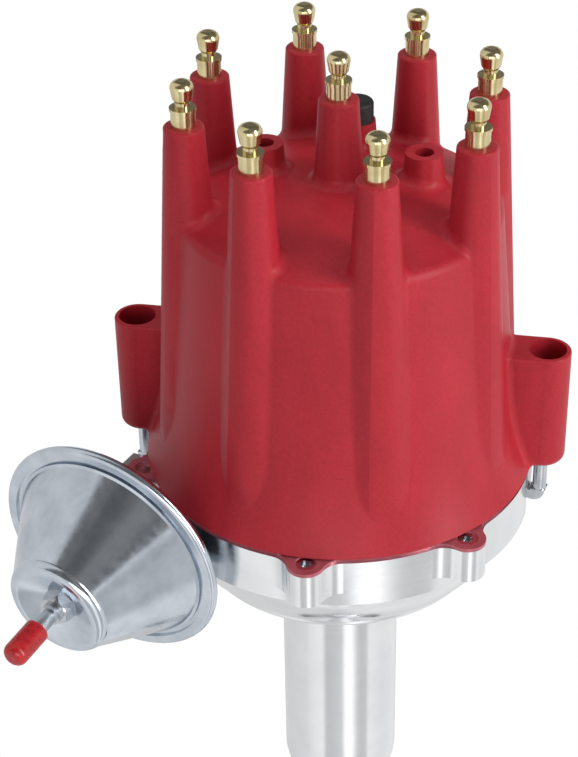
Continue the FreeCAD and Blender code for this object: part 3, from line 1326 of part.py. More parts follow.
def can_rear_shell():
    """Pressed steel back of the canister, crimped inside the front's rim."""
    rim_half = CAN_RIM_THICK / 2
    sheet = CAN_SHEET
    inner_rim = CAN_GROOVE_RADIUS - 0.6
    step = CAN_BACK_RADIUS + 6
    shell = revolve([
        (ROD_BORE_RADIUS, -CAN_BACK_DEPTH), (CAN_BACK_RADIUS, -CAN_BACK_DEPTH), (step, -CAN_BACK_DEPTH + 1.4),
        (inner_rim - 2.0, -3.0), (inner_rim - 0.0, -rim_half), (inner_rim, -DIAPHRAGM_THICK),
        (inner_rim - 3.0, -DIAPHRAGM_THICK),
        (inner_rim - 3.6, -3.0 + sheet), (step - 0.4, -CAN_BACK_DEPTH + 1.4 + sheet),
        (CAN_BACK_RADIUS - 0.2, -CAN_BACK_DEPTH + sheet), (ROD_BORE_RADIUS, -CAN_BACK_DEPTH + sheet),
    ])
    return can_frame(shell)


def diaphragm():
    """Rubber diaphragm gripped between the two shells."""
    inner_rim = CAN_GROOVE_RADIUS - 0.6
    return can_frame(ring(inner_rim, 2.6, -DIAPHRAGM_THICK, 0))


def vacuum_piston():
    """Pressed plates on both sides of the diaphragm, riveted to the rod's end."""
    plate = cylinder(PISTON_RADIUS, 0, 1.0)
    backing = cylinder(PISTON_RADIUS - 3, -DIAPHRAGM_THICK - 1.0, -DIAPHRAGM_THICK)
    rivet = cylinder(2.6, -DIAPHRAGM_THICK - 2.0, 2.2)
    return can_frame(fuse([plate, backing, rivet]))


def vacuum_spring():
    """Compression spring that pushes the diaphragm back towards the bowl."""
    return can_frame(coil(8.0, 0.6, 1.0, CAN_NOSE_HEIGHT - CAN_NOSE_DISH - CAN_SHEET, 5))


def vacuum_rod():
    """Flat steel rod from the diaphragm to the pickup plate's pin."""
    inward, miss = rod_foot()
    dip = math.radians(CAN_NOSE_DIP)
    travel = miss * math.sin(math.radians(PLATE_TURN_DEGREES / 2))
    eye = (inward + travel) / math.cos(dip)
    start = DIAPHRAGM_THICK + 2.0
    half = ROD_WIDTH / 2
    thick = ROD_THICK / 2
    # In the canister's frame the rod runs down -Z, and its flat lies square to the plate's pin.
    strip = block(-half, half, -thick, thick, -eye, -start)
    end = Part.makeCylinder(half + 0.9, ROD_THICK, vec(0, -thick, -eye), vec(0, 1, 0))
    rod = strip.fuse(end)
    rod = rod.cut(block(-5, 5, -4, 4, -start - 7.5, -start + 1))
    neck = cylinder(1.6, -start - 7.6, -start)
    rod = fuse([rod, neck])
    rod = can_frame_upright(rod)
    return rod.cut(cylinder(ROD_PIN_RADIUS + 0.25, PICKUP_PLATE_Z, RIM_Z + 5, rod_pin_place()))


def can_frame_upright(shape):
    """Move a shape into the canister's frame with its local Y axis kept upright."""
    axis = can_axis()
    side = vec(-axis.y, axis.x).normalize()
    turn = FreeCAD.Rotation(side, vec(0, 0, 0), axis, "ZXY")
    place = FreeCAD.Placement(vec(CAN_CENTRE[0], CAN_CENTRE[1], RIM_Z - CAN_DROP), turn)
    moved = shape.copy()
    moved.Placement = place.multiply(moved.Placement)
    return moved


def can_bracket():
    """Foot of the canister: a short neck around the rod and a plate screwed to the bowl's boss."""
    start = PAD_REACH - BRACKET_THICK
    low = DECK_Z - WALL_DROP + 0.5
    foot = along_can(block(start, PAD_REACH, PAD_LEFT + 0.5, PAD_RIGHT - 0.4, low, RIM_Z - PAD_DROP - 0.4))
    neck = can_frame(cylinder(BRACKET_NECK_RADIUS, -PAD_REACH, -CAN_BACK_DEPTH))
    neck = neck.common(along_can(block(0, PAD_REACH, -20, 20, 0, RIM_Z + 20)))
    bracket = fuse([foot, neck])
    bracket = bracket.cut(can_frame(cylinder(ROD_BORE_RADIUS, -30, 5)))
    return bracket.cut(bracket_screw_holes())


def bracket_screws():
    """Pan-head screws that hold the canister's foot to the bowl."""
    height = bracket_screw_height()
    start = PAD_REACH - BRACKET_THICK
    screws = []
    for offset in BRACKET_SCREW_OFFSETS:
        head = level_cylinder(BRACKET_SCREW_HEAD_RADIUS, start - 1.4, 1.4, offset, height)
        shank = level_cylinder(SCREW_RADIUS, start, BRACKET_THICK + 5.5, offset, height)
        screws.append(head.fuse(shank))
    return Part.makeCompound(screws)


def vacuum_nipple():
    """Hexagon and hose nipple in the canister's nose."""
    low = CAN_NOSE_HEIGHT - CAN_NOSE_DISH
    nut_top = low + NIPPLE_NUT_HEIGHT
    tip = low + NIPPLE_LENGTH
    nut = hexagon(NIPPLE_NUT_FLATS, low, nut_top)
    nut = nut.common(Part.makeCone(5.2, 3.9, NIPPLE_NUT_HEIGHT, vec(0, 0, low)))
    tube = cylinder(NIPPLE_RADIUS, low - CAN_SHEET - 0.6, NIPPLE_CAP_START)
    end = cylinder(NIPPLE_TIP_RADIUS, NIPPLE_CAP_START - 1, tip)
    collar = cylinder(NIPPLE_RADIUS + 0.7, nut_top, nut_top + 1.6)
    nipple = fuse([nut, tube, end, collar])
    return can_frame(nipple.cut(cylinder(NIPPLE_BORE, low - 5, tip + 1)))


def nipple_cap():
    """Red vinyl cap pushed over the nipple's thinner end, up to its step."""
    low = NIPPLE_CAP_START
    high = low + NIPPLE_CAP_LENGTH
    body = cylinder(NIPPLE_CAP_RADIUS, low, high)
    edge = [e for e in body.Edges if abs(e.BoundBox.ZMin - high) < 0.01]
    body = body.makeFillet(2.2, edge)
    tip = CAN_NOSE_HEIGHT - CAN_NOSE_DISH + NIPPLE_LENGTH
    body = body.cut(cylinder(NIPPLE_TIP_RADIUS + RUNNING_FIT, low - 1, tip + 0.3))
    return can_frame(body)


def build():
    """Every piece of the distributor by its name."""
    weight = advance_weight()
    spring = advance_spring()
    hook = latch()
    washer = latch_washer()
    hook_spring = latch_spring()
    return {
        "housing": housing(),
        "lower_bushing": bushing(-SHANK_LENGTH),
        "upper_bushing": bushing(HUB_TOP_Z - BUSHING_LENGTH),
        "shank_o_ring": shank_o_ring(),
        "adapter_plate": adapter_plate(),
        "plate_screws": plate_screws(),
        "lead_grommet": lead_grommet(),
        "ignition_module": ignition_module(),
        "module_screws": module_screws(),
        "pickup_plate": pickup_plate(),
        "plate_retainer": plate_retainer(),
        "pickup_sensor": pickup_sensor(),
        "sensor_screws": sensor_screws(),
        "rod_pin": rod_pin(),
        "shaft": shaft(),
        "drive_gear": drive_gear(),
        "gear_pin": gear_pin(),
        "thrust_washer": thrust_washer(),
        "upper_washer": upper_washer(),
        "centre_cam": centre_cam(),
        "advance_base": advance_base(),
        "weight_pins": Part.makeCompound(weight_pin_shapes()),
        "advance_weight_a": weight,
        "advance_weight_b": turned(weight, 180),
        "advance_spring_a": spring,
        "advance_spring_b": turned(spring, 180),
        "reluctor": reluctor(),
        "rotor": rotor(),
        "rotor_screws": rotor_screws(),
        "rotor_blade": rotor_blade(),
        "contact_spring": contact_spring(),
        "distributor_cap": distributor_cap(),
        "outer_terminals": outer_terminals(),
        "centre_terminal": on_rim(centre_insert()),
        "carbon_button": carbon_button(),
        "button_spring": button_spring(),
        "vent_plug": vent_plug(),
        "right_latch": hook,
        "left_latch": turned(hook, 180),
        "right_latch_washer": washer,
        "left_latch_washer": turned(washer, 180),
        "right_latch_spring": hook_spring,
        "left_latch_spring": turned(hook_spring, 180),
        "can_front_shell": can_front_shell(),
        "can_rear_shell": can_rear_shell(),
        "diaphragm": diaphragm(),
        "vacuum_piston": vacuum_piston(),
        "vacuum_spring": vacuum_spring(),
        "vacuum_rod": vacuum_rod(),
        "can_bracket": can_bracket(),
        "bracket_screws": bracket_screws(),
        "vacuum_nipple": vacuum_nipple(),
        "nipple_cap": nipple_cap(),
    }


def main():
    """Write each piece to its own file."""
    os.makedirs("parts", exist_ok=True)
    for name, shape in build().items():
        if shape.Volume < 0:
            shape.reverse()
        shape.exportStep(os.path.join("parts", name + ".step"))
        print(name, len(shape.Solids), round(shape.Volume, 1), shape.isValid())


main()
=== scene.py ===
import json
import math

import bmesh
import bpy
import numpy as np
from mathutils import Matrix, Vector


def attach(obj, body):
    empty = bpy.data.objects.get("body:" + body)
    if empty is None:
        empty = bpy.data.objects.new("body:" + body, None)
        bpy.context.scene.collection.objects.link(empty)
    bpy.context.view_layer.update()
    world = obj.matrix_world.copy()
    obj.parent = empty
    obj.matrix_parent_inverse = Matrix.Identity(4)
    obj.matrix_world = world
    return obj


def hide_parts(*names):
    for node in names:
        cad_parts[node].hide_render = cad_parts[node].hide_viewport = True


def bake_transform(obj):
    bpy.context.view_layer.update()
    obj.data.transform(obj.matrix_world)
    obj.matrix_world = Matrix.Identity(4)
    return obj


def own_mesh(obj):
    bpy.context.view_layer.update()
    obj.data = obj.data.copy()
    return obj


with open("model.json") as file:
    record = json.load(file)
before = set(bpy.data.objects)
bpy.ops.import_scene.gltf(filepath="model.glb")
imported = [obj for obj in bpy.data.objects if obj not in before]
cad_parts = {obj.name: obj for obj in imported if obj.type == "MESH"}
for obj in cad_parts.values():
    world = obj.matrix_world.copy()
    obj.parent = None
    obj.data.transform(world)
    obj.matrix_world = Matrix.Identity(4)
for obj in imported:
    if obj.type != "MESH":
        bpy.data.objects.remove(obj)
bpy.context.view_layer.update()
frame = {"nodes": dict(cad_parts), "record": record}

MM = 0.001
# Points closer than this, in metres, are one point of a spring's coils
MERGE_DISTANCE = 1e-6

# Places and axes that the scene shares with the part, in metres
FLOOR_Z = -76.5 * MM
CAN_CENTRE = (-53.9 * MM, -41.3 * MM, 129.0 * MM)
CAN_AXIS = (-0.33046, -0.93839, -0.10106)
SHAFT_CENTRE = (0.0, 0.0, 0.0)
SHAFT_AXIS = (0.0, 0.0, 1.0)
# The two nodes with a spun finish of their own
CANISTER_SHELLS = ("can_front_shell", "can_rear_shell")

# Compression springs: the body that each rests on, the joint that shortens it, its axis and its fixed end
COMPRESSION_SPRINGS = {
    "right_latch_spring": ("cap", "right_latch_press", SHAFT_AXIS, "low"),
    "left_latch_spring": ("cap", "left_latch_press", SHAFT_AXIS, "low"),
    "button_spring": ("cap", "button_press", SHAFT_AXIS, "high"),
    "vacuum_spring": ("housing", "rod_pull", CAN_AXIS, "high"),
}
# Tension springs, from a post on the shaft's cam to a pin on the advance base: the side of the shaft of each
TENSION_SPRINGS = {"advance_spring_a": 1.0, "advance_spring_b": -1.0}

# How far apart the pores of sintered bronze are
PORE_PITCH = 0.4 * MM

WHITE = (1.0, 1.0, 1.0, 1.0)

# What bare metal sees round the studio: brightness by compass angle in degrees from +X
STUDIO_BANDS = [
    (-180, 0.8), (-150, 0.86), (-116, 1.02), (-111, 0.6), (-76, 0.72), (-71, 1.3), (-58, 1.35), (-50, 0.88),
    (-42, 0.64), (-25, 0.64), (-21, 0.98), (15, 0.86), (60, 0.9), (100, 0.66), (135, 0.74), (180, 0.8),
]
# How those bands change with height, from -1 straight down to 1 straight up: a lit strip, a dark ceiling
STUDIO_HEIGHTS = [
    (-1.0, 1.0), (0.0, 1.0), (0.05, 0.84), (0.24, 0.84), (0.26, 1.6), (0.3, 1.6), (0.33, 0.2), (1.0, 0.2),
]
# On the left a wall runs up past that ceiling, from one compass angle through 180 to the other
TALL_WALL_START = 128.0
TALL_WALL_END = -152.0
# The share of a turn in which it fades in and out, and how bright it makes the bands
TALL_WALL_FADE_IN = 0.03
TALL_WALL_FADE_OUT = 0.01
TALL_WALL_LIGHT = 0.95
# The light that matt surfaces take from the studio, the same from all sides
MATT_LIGHT = 0.24

# Floor and backdrop, in metres: the run to front and back, the bend's radius, the rise and half the width
FLOOR_RUN = 1.2
FLOOR_BEND = 0.5
FLOOR_RISE = 2.0
FLOOR_HALF_WIDTH = 3.0
# How many points the bend has
BEND_POINTS = 17

# What every lamp points at, in metres
LAMP_TARGET = (0.0, 0.0, 0.14)
# Soft boxes: place, width and height in metres, power in watts, and whether metal shows the lamp itself
SOFT_BOXES = {
    "left soft box": ((-0.95, -0.45, 0.75), 0.7, 1.1, 1.2, False),
    "right soft box": ((0.95, -0.35, 0.55), 0.3, 1.1, 9.0, True),
    "top soft box": ((0.0, 0.1, 1.3), 1.2, 0.9, 5.6, False),
    "front fill": ((0.15, -1.3, 0.35), 1.0, 0.6, 5.0, True),
}

# The camera's place in metres and the directions of its picture
CAMERA_PLACE = (0.070857, -0.433646, 0.448847)
CAMERA_RIGHT = (0.98338116, 0.18083245, -0.01615912)
CAMERA_UP = (-0.08590843, 0.54188599, 0.83604983)
CAMERA_FORWARD = (-0.15994134, 0.82076744, -0.54841551)
# Its focal length and the width of its sensor, in mm
CAMERA_LENS = 94.05
CAMERA_SENSOR = 36.0
# How near a thing may be and still be drawn, in metres
CAMERA_NEAREST = 0.01


# Colours and shader nodes

def linear(hex_colour):
    """An sRGB hex colour as linear RGBA."""
    channels = [int(hex_colour[i:i + 2], 16) / 255 for i in (0, 2, 4)]
    straight = [c / 12.92 if c <= 0.04045 else ((c + 0.055) / 1.055) ** 2.4 for c in channels]
    return (*straight, 1.0)


def add(tree, kind, settings=None, **inputs):
    """A shader node. An input goes by its name, or by its number after a "_", and is a value or a socket."""
    node = tree.nodes.new(kind)
    for name, value in (settings or {}).items():
        setattr(node, name, value)
    for name, value in inputs.items():
        socket = node.inputs[int(name[1:])] if name[0] == "_" else node.inputs[name.replace("_", " ")]
        if isinstance(value, bpy.types.NodeSocket):
            tree.links.new(value, socket)
        else:
            socket.default_value = value
    return node


def start_material(name, **shader):
    """A new material, its tree, its main shader and the object's own coordinates."""
    material = bpy.data.materials.new(name)
    material.use_nodes = True
    tree = material.node_tree
    surface = tree.nodes["Principled BSDF"]
    for key, value in shader.items():
        surface.inputs[key.replace("_", " ")].default_value = value
    place = add(tree, "ShaderNodeTexCoord").outputs["Object"]
    return material, tree, surface, place


def link(tree, output, surface, name):
    """Join an output to one of the main shader's inputs."""
    tree.links.new(output, surface.inputs[name])


def stretched(tree, place, scale):
    """Object coordinates stretched by a factor for each axis."""
    return add(tree, "ShaderNodeMapping", None, Vector=place, Scale=scale).outputs["Vector"]


def noise(tree, place, size_mm, detail):
    """Cloudy noise whose features are about size_mm across, with finer clouds in it as detail rises."""
    return add(tree, "ShaderNodeTexNoise", None, Vector=place, Scale=1 / (size_mm * MM),
               Detail=detail, Roughness=0.55).outputs["Fac"]


def between(tree, factor, low, high, start=0.3, end=0.7):
    """A value that runs from low to high as the factor goes from start to end."""
    return add(tree, "ShaderNodeMapRange", None, Value=factor, From_Min=start, From_Max=end,
               To_Min=low, To_Max=high).outputs["Result"]


def blended(tree, factor, first, second):
    """A colour between two colours."""
    return add(tree, "ShaderNodeMix", {"data_type": "RGBA"}, _0=factor, _6=first, _7=second).outputs[2]


def tinted(tree, surface, factor, first, second, start=0.3, end=0.7):
    """Colour the surface from one hex colour to another as the factor goes from start to end."""
    share = between(tree, factor, 0.0, 1.0, start, end)
    link(tree, blended(tree, share, linear(first), linear(second)), surface, "Base Color")


def bumped(tree, surface, heights):
    """Give the surface fine relief from (height, depth in mm) pairs, one over the other."""
    normal = None
    for height, depth_mm in heights:
        inputs = {"Height": height, "Distance": depth_mm * MM, "Strength": 1.0}
        if normal is not None:
            inputs["Normal"] = normal
        normal = add(tree, "ShaderNodeBump", None, **inputs).outputs["Normal"]
    link(tree, normal, surface, "Normal")


def marks_around(tree, place, centre, axis):
    """The direction in which a lathe's marks run: the axis crossed with the offset from its centre."""
    offset = add(tree, "ShaderNodeVectorMath", {"operation": "SUBTRACT"}, _0=place, _1=centre).outputs[0]
    return add(tree, "ShaderNodeVectorMath", {"operation": "CROSS_PRODUCT"}, _0=axis, _1=offset).outputs[0]


def brushed(tree, surface, place, centre, axis, amount):
    """Stretch the reflections across marks that run round an axis, as turned or spun metal does."""
    surface.inputs["Anisotropic"].default_value = amount
    direction = marks_around(tree, place, centre, axis)
    facing = {"vector_type": "VECTOR", "convert_from": "OBJECT", "convert_to": "WORLD"}
    tangent = add(tree, "ShaderNodeVectorTransform", facing, Vector=direction).outputs["Vector"]
    link(tree, tangent, surface, "Tangent")


# Materials

def glass_filled_polyester(name, body, shade, roughness):
    """Moulded glass-filled polyester: satin, with faint upright flow marks and a fine fibre speckle."""
    material, tree, surface, place = start_material(name, Roughness=roughness, Specular_IOR_Level=0.22)
    flow = noise(tree, stretched(tree, place, (1.0, 1.0, 0.35)), size_mm=9.0, detail=4.0)
    fibre = noise(tree, place, size_mm=0.8, detail=3.0)
    colour = blended(tree, between(tree, flow, 0.0, 1.0), linear(shade), linear(body))
    speckled = add(tree, "ShaderNodeHueSaturation", None, Value=between(tree, fibre, 0.9, 1.1), Color=colour)
    link(tree, speckled.outputs["Color"], surface, "Base Color")
    link(tree, between(tree, fibre, roughness - 0.05, roughness + 0.07), surface, "Roughness")
    bumped(tree, surface, [(flow, 0.012), (fibre, 0.012)])
    return material


def turned_aluminium(name, body, shade):
    """Billet aluminium turned on a lathe: mirror bright across its fine rings, with crisp upright bands."""
    material, tree, surface, place = start_material(name, Metallic=1.0, Roughness=0.2)
    rings = noise(tree, stretched(tree, place, (0.01, 0.01, 1.0)), size_mm=0.9, detail=2.0)
    haze = noise(tree, place, size_mm=14.0, detail=3.0)
    tinted(tree, surface, haze, shade, body)
    link(tree, between(tree, rings, 0.12, 0.18), surface, "Roughness")
    brushed(tree, surface, place, SHAFT_CENTRE, SHAFT_AXIS, 0.6)
    bumped(tree, surface, [(rings, 0.0015)])
    return material


def sheet_with_painted_red_reflection(name, body, shade):
    """Sheet aluminium whose pink-red colour is a painted reflection of the red cap: a soft metallic sheen,
    paler where it is handled.
    """
    material, tree, surface, place = start_material(name, Metallic=0.45, Roughness=0.38)
    wear = noise(tree, place, size_mm=5.0, detail=4.0)
    grain = noise(tree, stretched(tree, place, (1.0, 0.05, 1.0)), size_mm=0.4, detail=2.0)
    # The pink-red body and shade colours paint the red cap's reflection on plain aluminium.
    tinted(tree, surface, wear, shade, body)
    link(tree, between(tree, grain, 0.32, 0.45), surface, "Roughness")
    bumped(tree, surface, [(grain, 0.003)])
    return material


def turned_brass(name, body, shade):
    """Free-cutting brass turned on a bar lathe: warm and bright, faintly dulled by handling."""
    material, tree, surface, place = start_material(name, Metallic=1.0, Roughness=0.2)
    rings = noise(tree, stretched(tree, place, (0.05, 0.05, 1.0)), size_mm=0.6, detail=2.0)
    tarnish = noise(tree, place, size_mm=4.0, detail=4.0)
    tinted(tree, surface, tarnish, shade, body)
    link(tree, between(tree, tarnish, 0.26, 0.15), surface, "Roughness")
    bumped(tree, surface, [(rings, 0.0015)])
    return material


def spun_zinc_steel(name, body, shade):
    """Spun steel with a zinc plating: cool grey, with long streaks of light out from its middle."""
    material, tree, surface, place = start_material(name, Metallic=1.0, Roughness=0.18)
    cloud = noise(tree, place, size_mm=9.0, detail=3.0)
    spots = noise(tree, place, size_mm=1.6, detail=3.0)
    tinted(tree, surface, cloud, shade, body)
    link(tree, between(tree, spots, 0.13, 0.22), surface, "Roughness")
    brushed(tree, surface, place, CAN_CENTRE, CAN_AXIS, 0.45)
    bumped(tree, surface, [(cloud, 0.02), (spots, 0.002)])
    return material


def plated_steel(name, body, shade, low, high):
    """Steel with a thin zinc plating: cool grey, a little cloudy, with fine drawing marks."""
    material, tree, surface, place = start_material(name, Metallic=1.0, Roughness=low)
    cloud = noise(tree, place, size_mm=6.0, detail=5.0)
    marks = noise(tree, stretched(tree, place, (1.0, 1.0, 0.08)), size_mm=0.35, detail=2.0)
    tinted(tree, surface, cloud, shade, body)
    link(tree, between(tree, cloud, high, low), surface, "Roughness")
    bumped(tree, surface, [(marks, 0.003)])
    return material


def worked_steel(name, body, shade, grain_mm, depth_mm, low, high):
    """Ground, hobbed or drawn steel, and the carbon button: fine marks run round the piece."""
    material, tree, surface, place = start_material(name, Metallic=1.0, Roughness=low)
    marks = noise(tree, stretched(tree, place, (0.06, 0.06, 1.0)), grain_mm, detail=2.0)
    stain = noise(tree, place, size_mm=5.0, detail=4.0)
    tinted(tree, surface, stain, shade, body)
    link(tree, between(tree, stain, high, low), surface, "Roughness")
    bumped(tree, surface, [(marks, depth_mm)])
    return material


def sintered_bronze(name, body, shade):
    """Pressed and sintered bronze: brown gold and matt, with tiny open pores."""
    material, tree, surface, place = start_material(name, Metallic=1.0, Roughness=0.5)
    pores = add(tree, "ShaderNodeTexVoronoi", None, Vector=place, Scale=1 / PORE_PITCH).outputs["Distance"]
    tinted(tree, surface, pores, shade, body, start=0.05, end=0.4)
    bumped(tree, surface, [(pores, 0.02)])
    return material


def moulded_rubber(name, body, shade, roughness):
    """Moulded rubber: matt and slightly dusty, with a soft skin."""
    material, tree, surface, place = start_material(name, Roughness=roughness)
    dust = noise(tree, place, size_mm=3.0, detail=4.0)
    skin = noise(tree, place, size_mm=0.5, detail=2.0)
    tinted(tree, surface, dust, body, shade)
    bumped(tree, surface, [(skin, 0.01)])
    return material


def dipped_vinyl(name, body, shade):
    """Dip-moulded soft vinyl: strong colour with a wet gloss and a soft, uneven skin."""
    material, tree, surface, place = start_material(name, Roughness=0.28, Subsurface_Weight=0.08)
    skin = noise(tree, place, size_mm=2.5, detail=2.0)
    tinted(tree, surface, skin, shade, body)
    link(tree, between(tree, skin, 0.22, 0.36), surface, "Roughness")
    bumped(tree, surface, [(skin, 0.05)])
    return material


def make_materials():
    """The finish of each material slot of the part, and of the canister's two shells."""
    return {
        "anodised_aluminium": turned_aluminium("turned aluminium", "EEEFF0", "E3E5E7"),
        # The red_anodised slot's pink-red colours are a painted reflection of the red cap on plain
        # aluminium.
        "red_anodised": sheet_with_painted_red_reflection("aluminium with painted red reflection", "BE6C77", "A85661"),
        "red_moulding": glass_filled_polyester("red glass-filled polyester", "AD2733", "A0222D", 0.42),
        "black_moulding": glass_filled_polyester("black glass-filled polyester", "1C1C1E", "141416", 0.48),
        "turned_brass": turned_brass("turned brass", "E3D5A8", "CDBB8A"),
        "zinc_plated_steel": plated_steel("zinc plated steel", "D2D5D9", "BFC3C8", 0.2, 0.3),
        "canister_shell": spun_zinc_steel("spun zinc plated steel", "D6DCE4", "BAC2CC"),
        "ground_steel": worked_steel("ground steel", "A3A4A7", "8E8F93", 0.25, 0.003, 0.22, 0.32),
        "sintered_bronze": sintered_bronze("sintered bronze", "A87D48", "6E4E2A"),
        "cut_iron": worked_steel("hobbed iron", "6A6A6D", "4E4E51", 0.5, 0.01, 0.38, 0.52),
        "black_oxide_steel": worked_steel("black oxide steel", "2A2A2D", "1C1C1E", 0.4, 0.005, 0.3, 0.42),
        "spring_wire": worked_steel("drawn spring wire", "8D8E92", "6F7074", 0.3, 0.003, 0.28, 0.4),
        "black_rubber": moulded_rubber("black rubber", "161617", "232325", 0.62),
        "red_vinyl": dipped_vinyl("red dipped vinyl", "B5161D", "98101A"),
        "carbon": worked_steel("moulded carbon", "2B2B2D", "1B1B1D", 0.6, 0.01, 0.5, 0.62),
        "stainless_strip": worked_steel("stainless strip", "B9BABC", "A5A6A9", 0.3, 0.002, 0.18, 0.26),
    }


def dress_nodes(materials):
    """Give every node of the part the finish of its slot."""
    for entry in frame["record"]["subparts"]:
        slots = frame["nodes"][entry["node"]].data.materials
        slots.clear()
        finish = "canister_shell" if entry["node"] in CANISTER_SHELLS else entry["material_slot"]
        slots.append(materials[finish])


# Springs as coils of their own

def soft_coils(node, material):
    """A piece with the node's own coils, which stands for it."""
    mesh = frame["nodes"][node].data.copy()
    coils = bmesh.new()
    coils.from_mesh(mesh)
    bmesh.ops.remove_doubles(coils, verts=coils.verts, dist=MERGE_DISTANCE)
    coils.to_mesh(mesh)
    coils.free()
    mesh.materials.clear()
    mesh.materials.append(material)
    spring = bpy.data.objects.new(node + "_coils", mesh)
    bpy.context.scene.collection.objects.link(spring)
    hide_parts(node)
    return spring


def compression_spring(node, body, material):
    """The spring's coils as a piece of their own, fixed to the body that the spring rests on."""
    spring = soft_coils(node, material)
    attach(spring, body)
    points = np.empty(3 * len(spring.data.vertices))
    spring.data.vertices.foreach_get("co", points)
    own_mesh(spring)


def tension_spring(node, material):
    """The spring's coils as a piece of their own, with its place baked into its points."""
    spring = soft_coils(node, material)
    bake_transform(spring)


# Studio

def white_paper():
    """Paper that is plain white for the camera, and lit and shaded paper for everything else."""
    material = bpy.data.materials.new("white paper")
    material.use_nodes = True
    tree = material.node_tree
    paper = tree.nodes["Principled BSDF"]
    paper.inputs["Base Color"].default_value = linear("F4F4F4")
    paper.inputs["Roughness"].default_value = 0.9
    path = add(tree, "ShaderNodeLightPath")
    seen = add(tree, "ShaderNodeMath", {"operation": "MAXIMUM"}, _0=path.outputs["Is Camera Ray"],
               _1=path.outputs["Is Transmission Ray"]).outputs[0]
    white = add(tree, "ShaderNodeEmission", None, Color=WHITE, Strength=1.0).outputs[0]
    mixed = add(tree, "ShaderNodeMixShader", None, _0=seen, _1=paper.outputs[0], _2=white).outputs[0]
    tree.links.new(mixed, tree.nodes["Material Output"].inputs["Surface"])
    return material


def studio_floor():
    """A pale floor that curves up into a backdrop: a straight run, a quarter circle and a straight rise."""
    turn = np.linspace(0, math.pi / 2, BEND_POINTS)
    back = FLOOR_RUN + FLOOR_BEND
    y = np.concatenate([[-FLOOR_RUN], FLOOR_RUN + FLOOR_BEND * np.sin(turn), [back]])
    z = np.concatenate([[0.0], FLOOR_BEND * (1 - np.cos(turn)), [FLOOR_BEND + FLOOR_RISE]]) + FLOOR_Z
    x = np.array([-FLOOR_HALF_WIDTH, FLOOR_HALF_WIDTH])
    across, along = np.meshgrid(x, np.arange(len(y)))
    points = np.stack([across, y[along], z[along]], axis=-1).reshape(-1, 3)
    row = np.arange(len(y) - 1) * 2
    faces = np.stack([row, row + 1, row + 3, row + 2], axis=1)
    mesh = bpy.data.meshes.new("studio_floor")
    mesh.from_pydata(points.tolist(), [], faces.tolist())
    floor = bpy.data.objects.new("studio_floor", mesh)
    bpy.context.scene.collection.objects.link(floor)
    mesh.materials.append(white_paper())
    # Metal looks through the floor at the studio's bands.
    floor.visible_glossy = False


def soft_box(name, place, width, height, power, shown):
    """A rectangular lamp that points at the lamps' target; shown says whether metal reflects it."""
    lamp = bpy.data.lights.new(name, "AREA")
    lamp.shape = "RECTANGLE"
    lamp.size = width
    lamp.size_y = height
    lamp.energy = power
    box = bpy.data.objects.new(name, lamp)
    aim = (Vector(LAMP_TARGET) - Vector(place)).to_track_quat("-Z", "Y")
    box.matrix_world = Matrix.Translation(place) @ aim.to_matrix().to_4x4()
    # In place of a lamp that isn't shown, metal reflects the studio's bands.
    box.visible_glossy = shown
    bpy.context.scene.collection.objects.link(box)


def studio_lamps():
    """A narrow soft box on the right, weaker ones on the left and overhead, and a low fill in front."""
    for name, (place, width, height, power, shown) in SOFT_BOXES.items():
        soft_box(name, place, width, height, power, shown)


def brightness_ramp(tree, factor, points):
    """Brightness that runs straight from point to point: (position, brightness) pairs in order."""
    ramp = add(tree, "ShaderNodeValToRGB", None, Fac=factor)
    stops = ramp.color_ramp.elements
    while len(stops) < len(points):
        stops.new(0.5)
    for stop, (position, brightness) in zip(stops, points):
        stop.position = position
        stop.color = (brightness, brightness, brightness, 1.0)
    return ramp.outputs["Color"]


def turn_share(angle):
    """A compass angle in degrees as a share of a full turn that starts at -180."""
    return (angle + 180) / 360


def background(tree, colour, strength):
    """A world shader of one colour and strength, each a value or a socket."""
    return add(tree, "ShaderNodeBackground", None, Color=colour, Strength=strength).outputs[0]


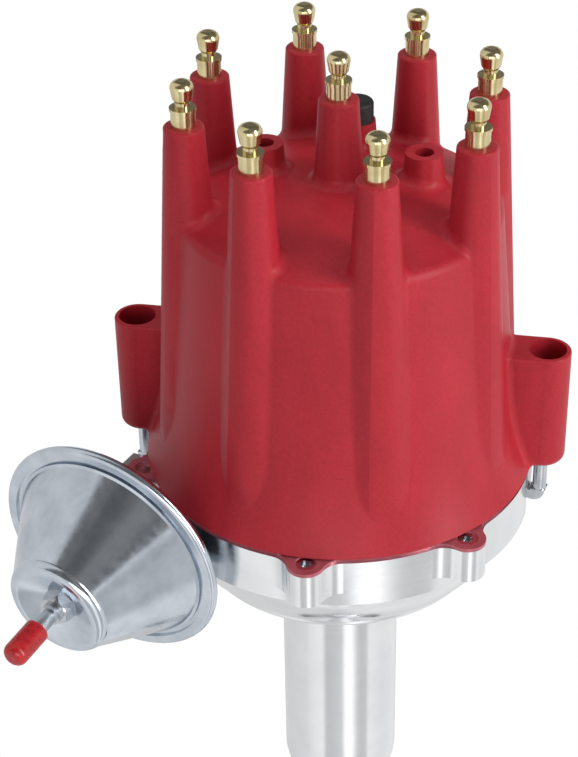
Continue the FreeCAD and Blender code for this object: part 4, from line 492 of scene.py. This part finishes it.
def studio_world():
    """White for the camera, an even grey for matt surfaces, and the studio's bands for glossy ones."""
    world = bpy.data.worlds.new("studio world")
    bpy.context.scene.world = world
    world.use_nodes = True
    tree = world.node_tree
    tree.nodes.clear()
    path = add(tree, "ShaderNodeLightPath")
    direction = add(tree, "ShaderNodeTexCoord").outputs["Generated"]
    radial = {"gradient_type": "RADIAL"}
    compass = add(tree, "ShaderNodeTexGradient", radial, Vector=direction).outputs["Fac"]
    bands_at = [(turn_share(angle), light) for angle, light in STUDIO_BANDS]
    by_compass = brightness_ramp(tree, compass, bands_at)
    height = add(tree, "ShaderNodeSeparateXYZ", None, Vector=direction).outputs["Z"]
    upward = between(tree, height, 0.0, 1.0, -1.0, 1.0)
    heights_at = [((z + 1) / 2, light) for z, light in STUDIO_HEIGHTS]
    by_height = brightness_ramp(tree, upward, heights_at)
    start = turn_share(TALL_WALL_START)
    end = turn_share(TALL_WALL_END)
    wall = brightness_ramp(tree, compass, [
        (0.0, 1.0), (end, 1.0), (end + TALL_WALL_FADE_OUT, 0.0),
        (start, 0.0), (start + TALL_WALL_FADE_IN, 1.0), (1.0, 1.0),
    ])
    strength = add(tree, "ShaderNodeMix", None, _0=wall, _2=by_height, _3=TALL_WALL_LIGHT).outputs[0]
    grey = background(tree, WHITE, MATT_LIGHT)
    bands = background(tree, by_compass, strength)
    white = background(tree, WHITE, 1.0)
    glossy = path.outputs["Is Glossy Ray"]
    camera = path.outputs["Is Camera Ray"]
    lit = add(tree, "ShaderNodeMixShader", None, _0=glossy, _1=grey, _2=bands).outputs[0]
    seen = add(tree, "ShaderNodeMixShader", None, _0=camera, _1=lit, _2=white).outputs[0]
    add(tree, "ShaderNodeOutputWorld", None, Surface=seen)


def photograph_camera():
    """The camera at the photograph's place, worked out from the part's own points in the picture."""
    camera = bpy.data.objects.new("camera", bpy.data.cameras.new("camera"))
    turn = Matrix((CAMERA_RIGHT, CAMERA_UP, -Vector(CAMERA_FORWARD))).transposed().to_4x4()
    camera.matrix_world = Matrix.Translation(CAMERA_PLACE) @ turn
    camera.data.sensor_width = CAMERA_SENSOR
    camera.data.lens = CAMERA_LENS
    camera.data.clip_start = CAMERA_NEAREST
    bpy.context.scene.collection.objects.link(camera)
    bpy.context.scene.camera = camera


def main():
    """Dress the part, light it and place the camera."""
    materials = make_materials()
    dress_nodes(materials)
    for node, (body, joint, axis, fixed_end) in COMPRESSION_SPRINGS.items():
        compression_spring(node, body, materials["spring_wire"])
    for node, side in TENSION_SPRINGS.items():
        tension_spring(node, materials["spring_wire"])
    studio_floor()
    studio_lamps()
    studio_world()
    photograph_camera()
    bpy.context.scene.view_settings.view_transform = "Standard"


main()
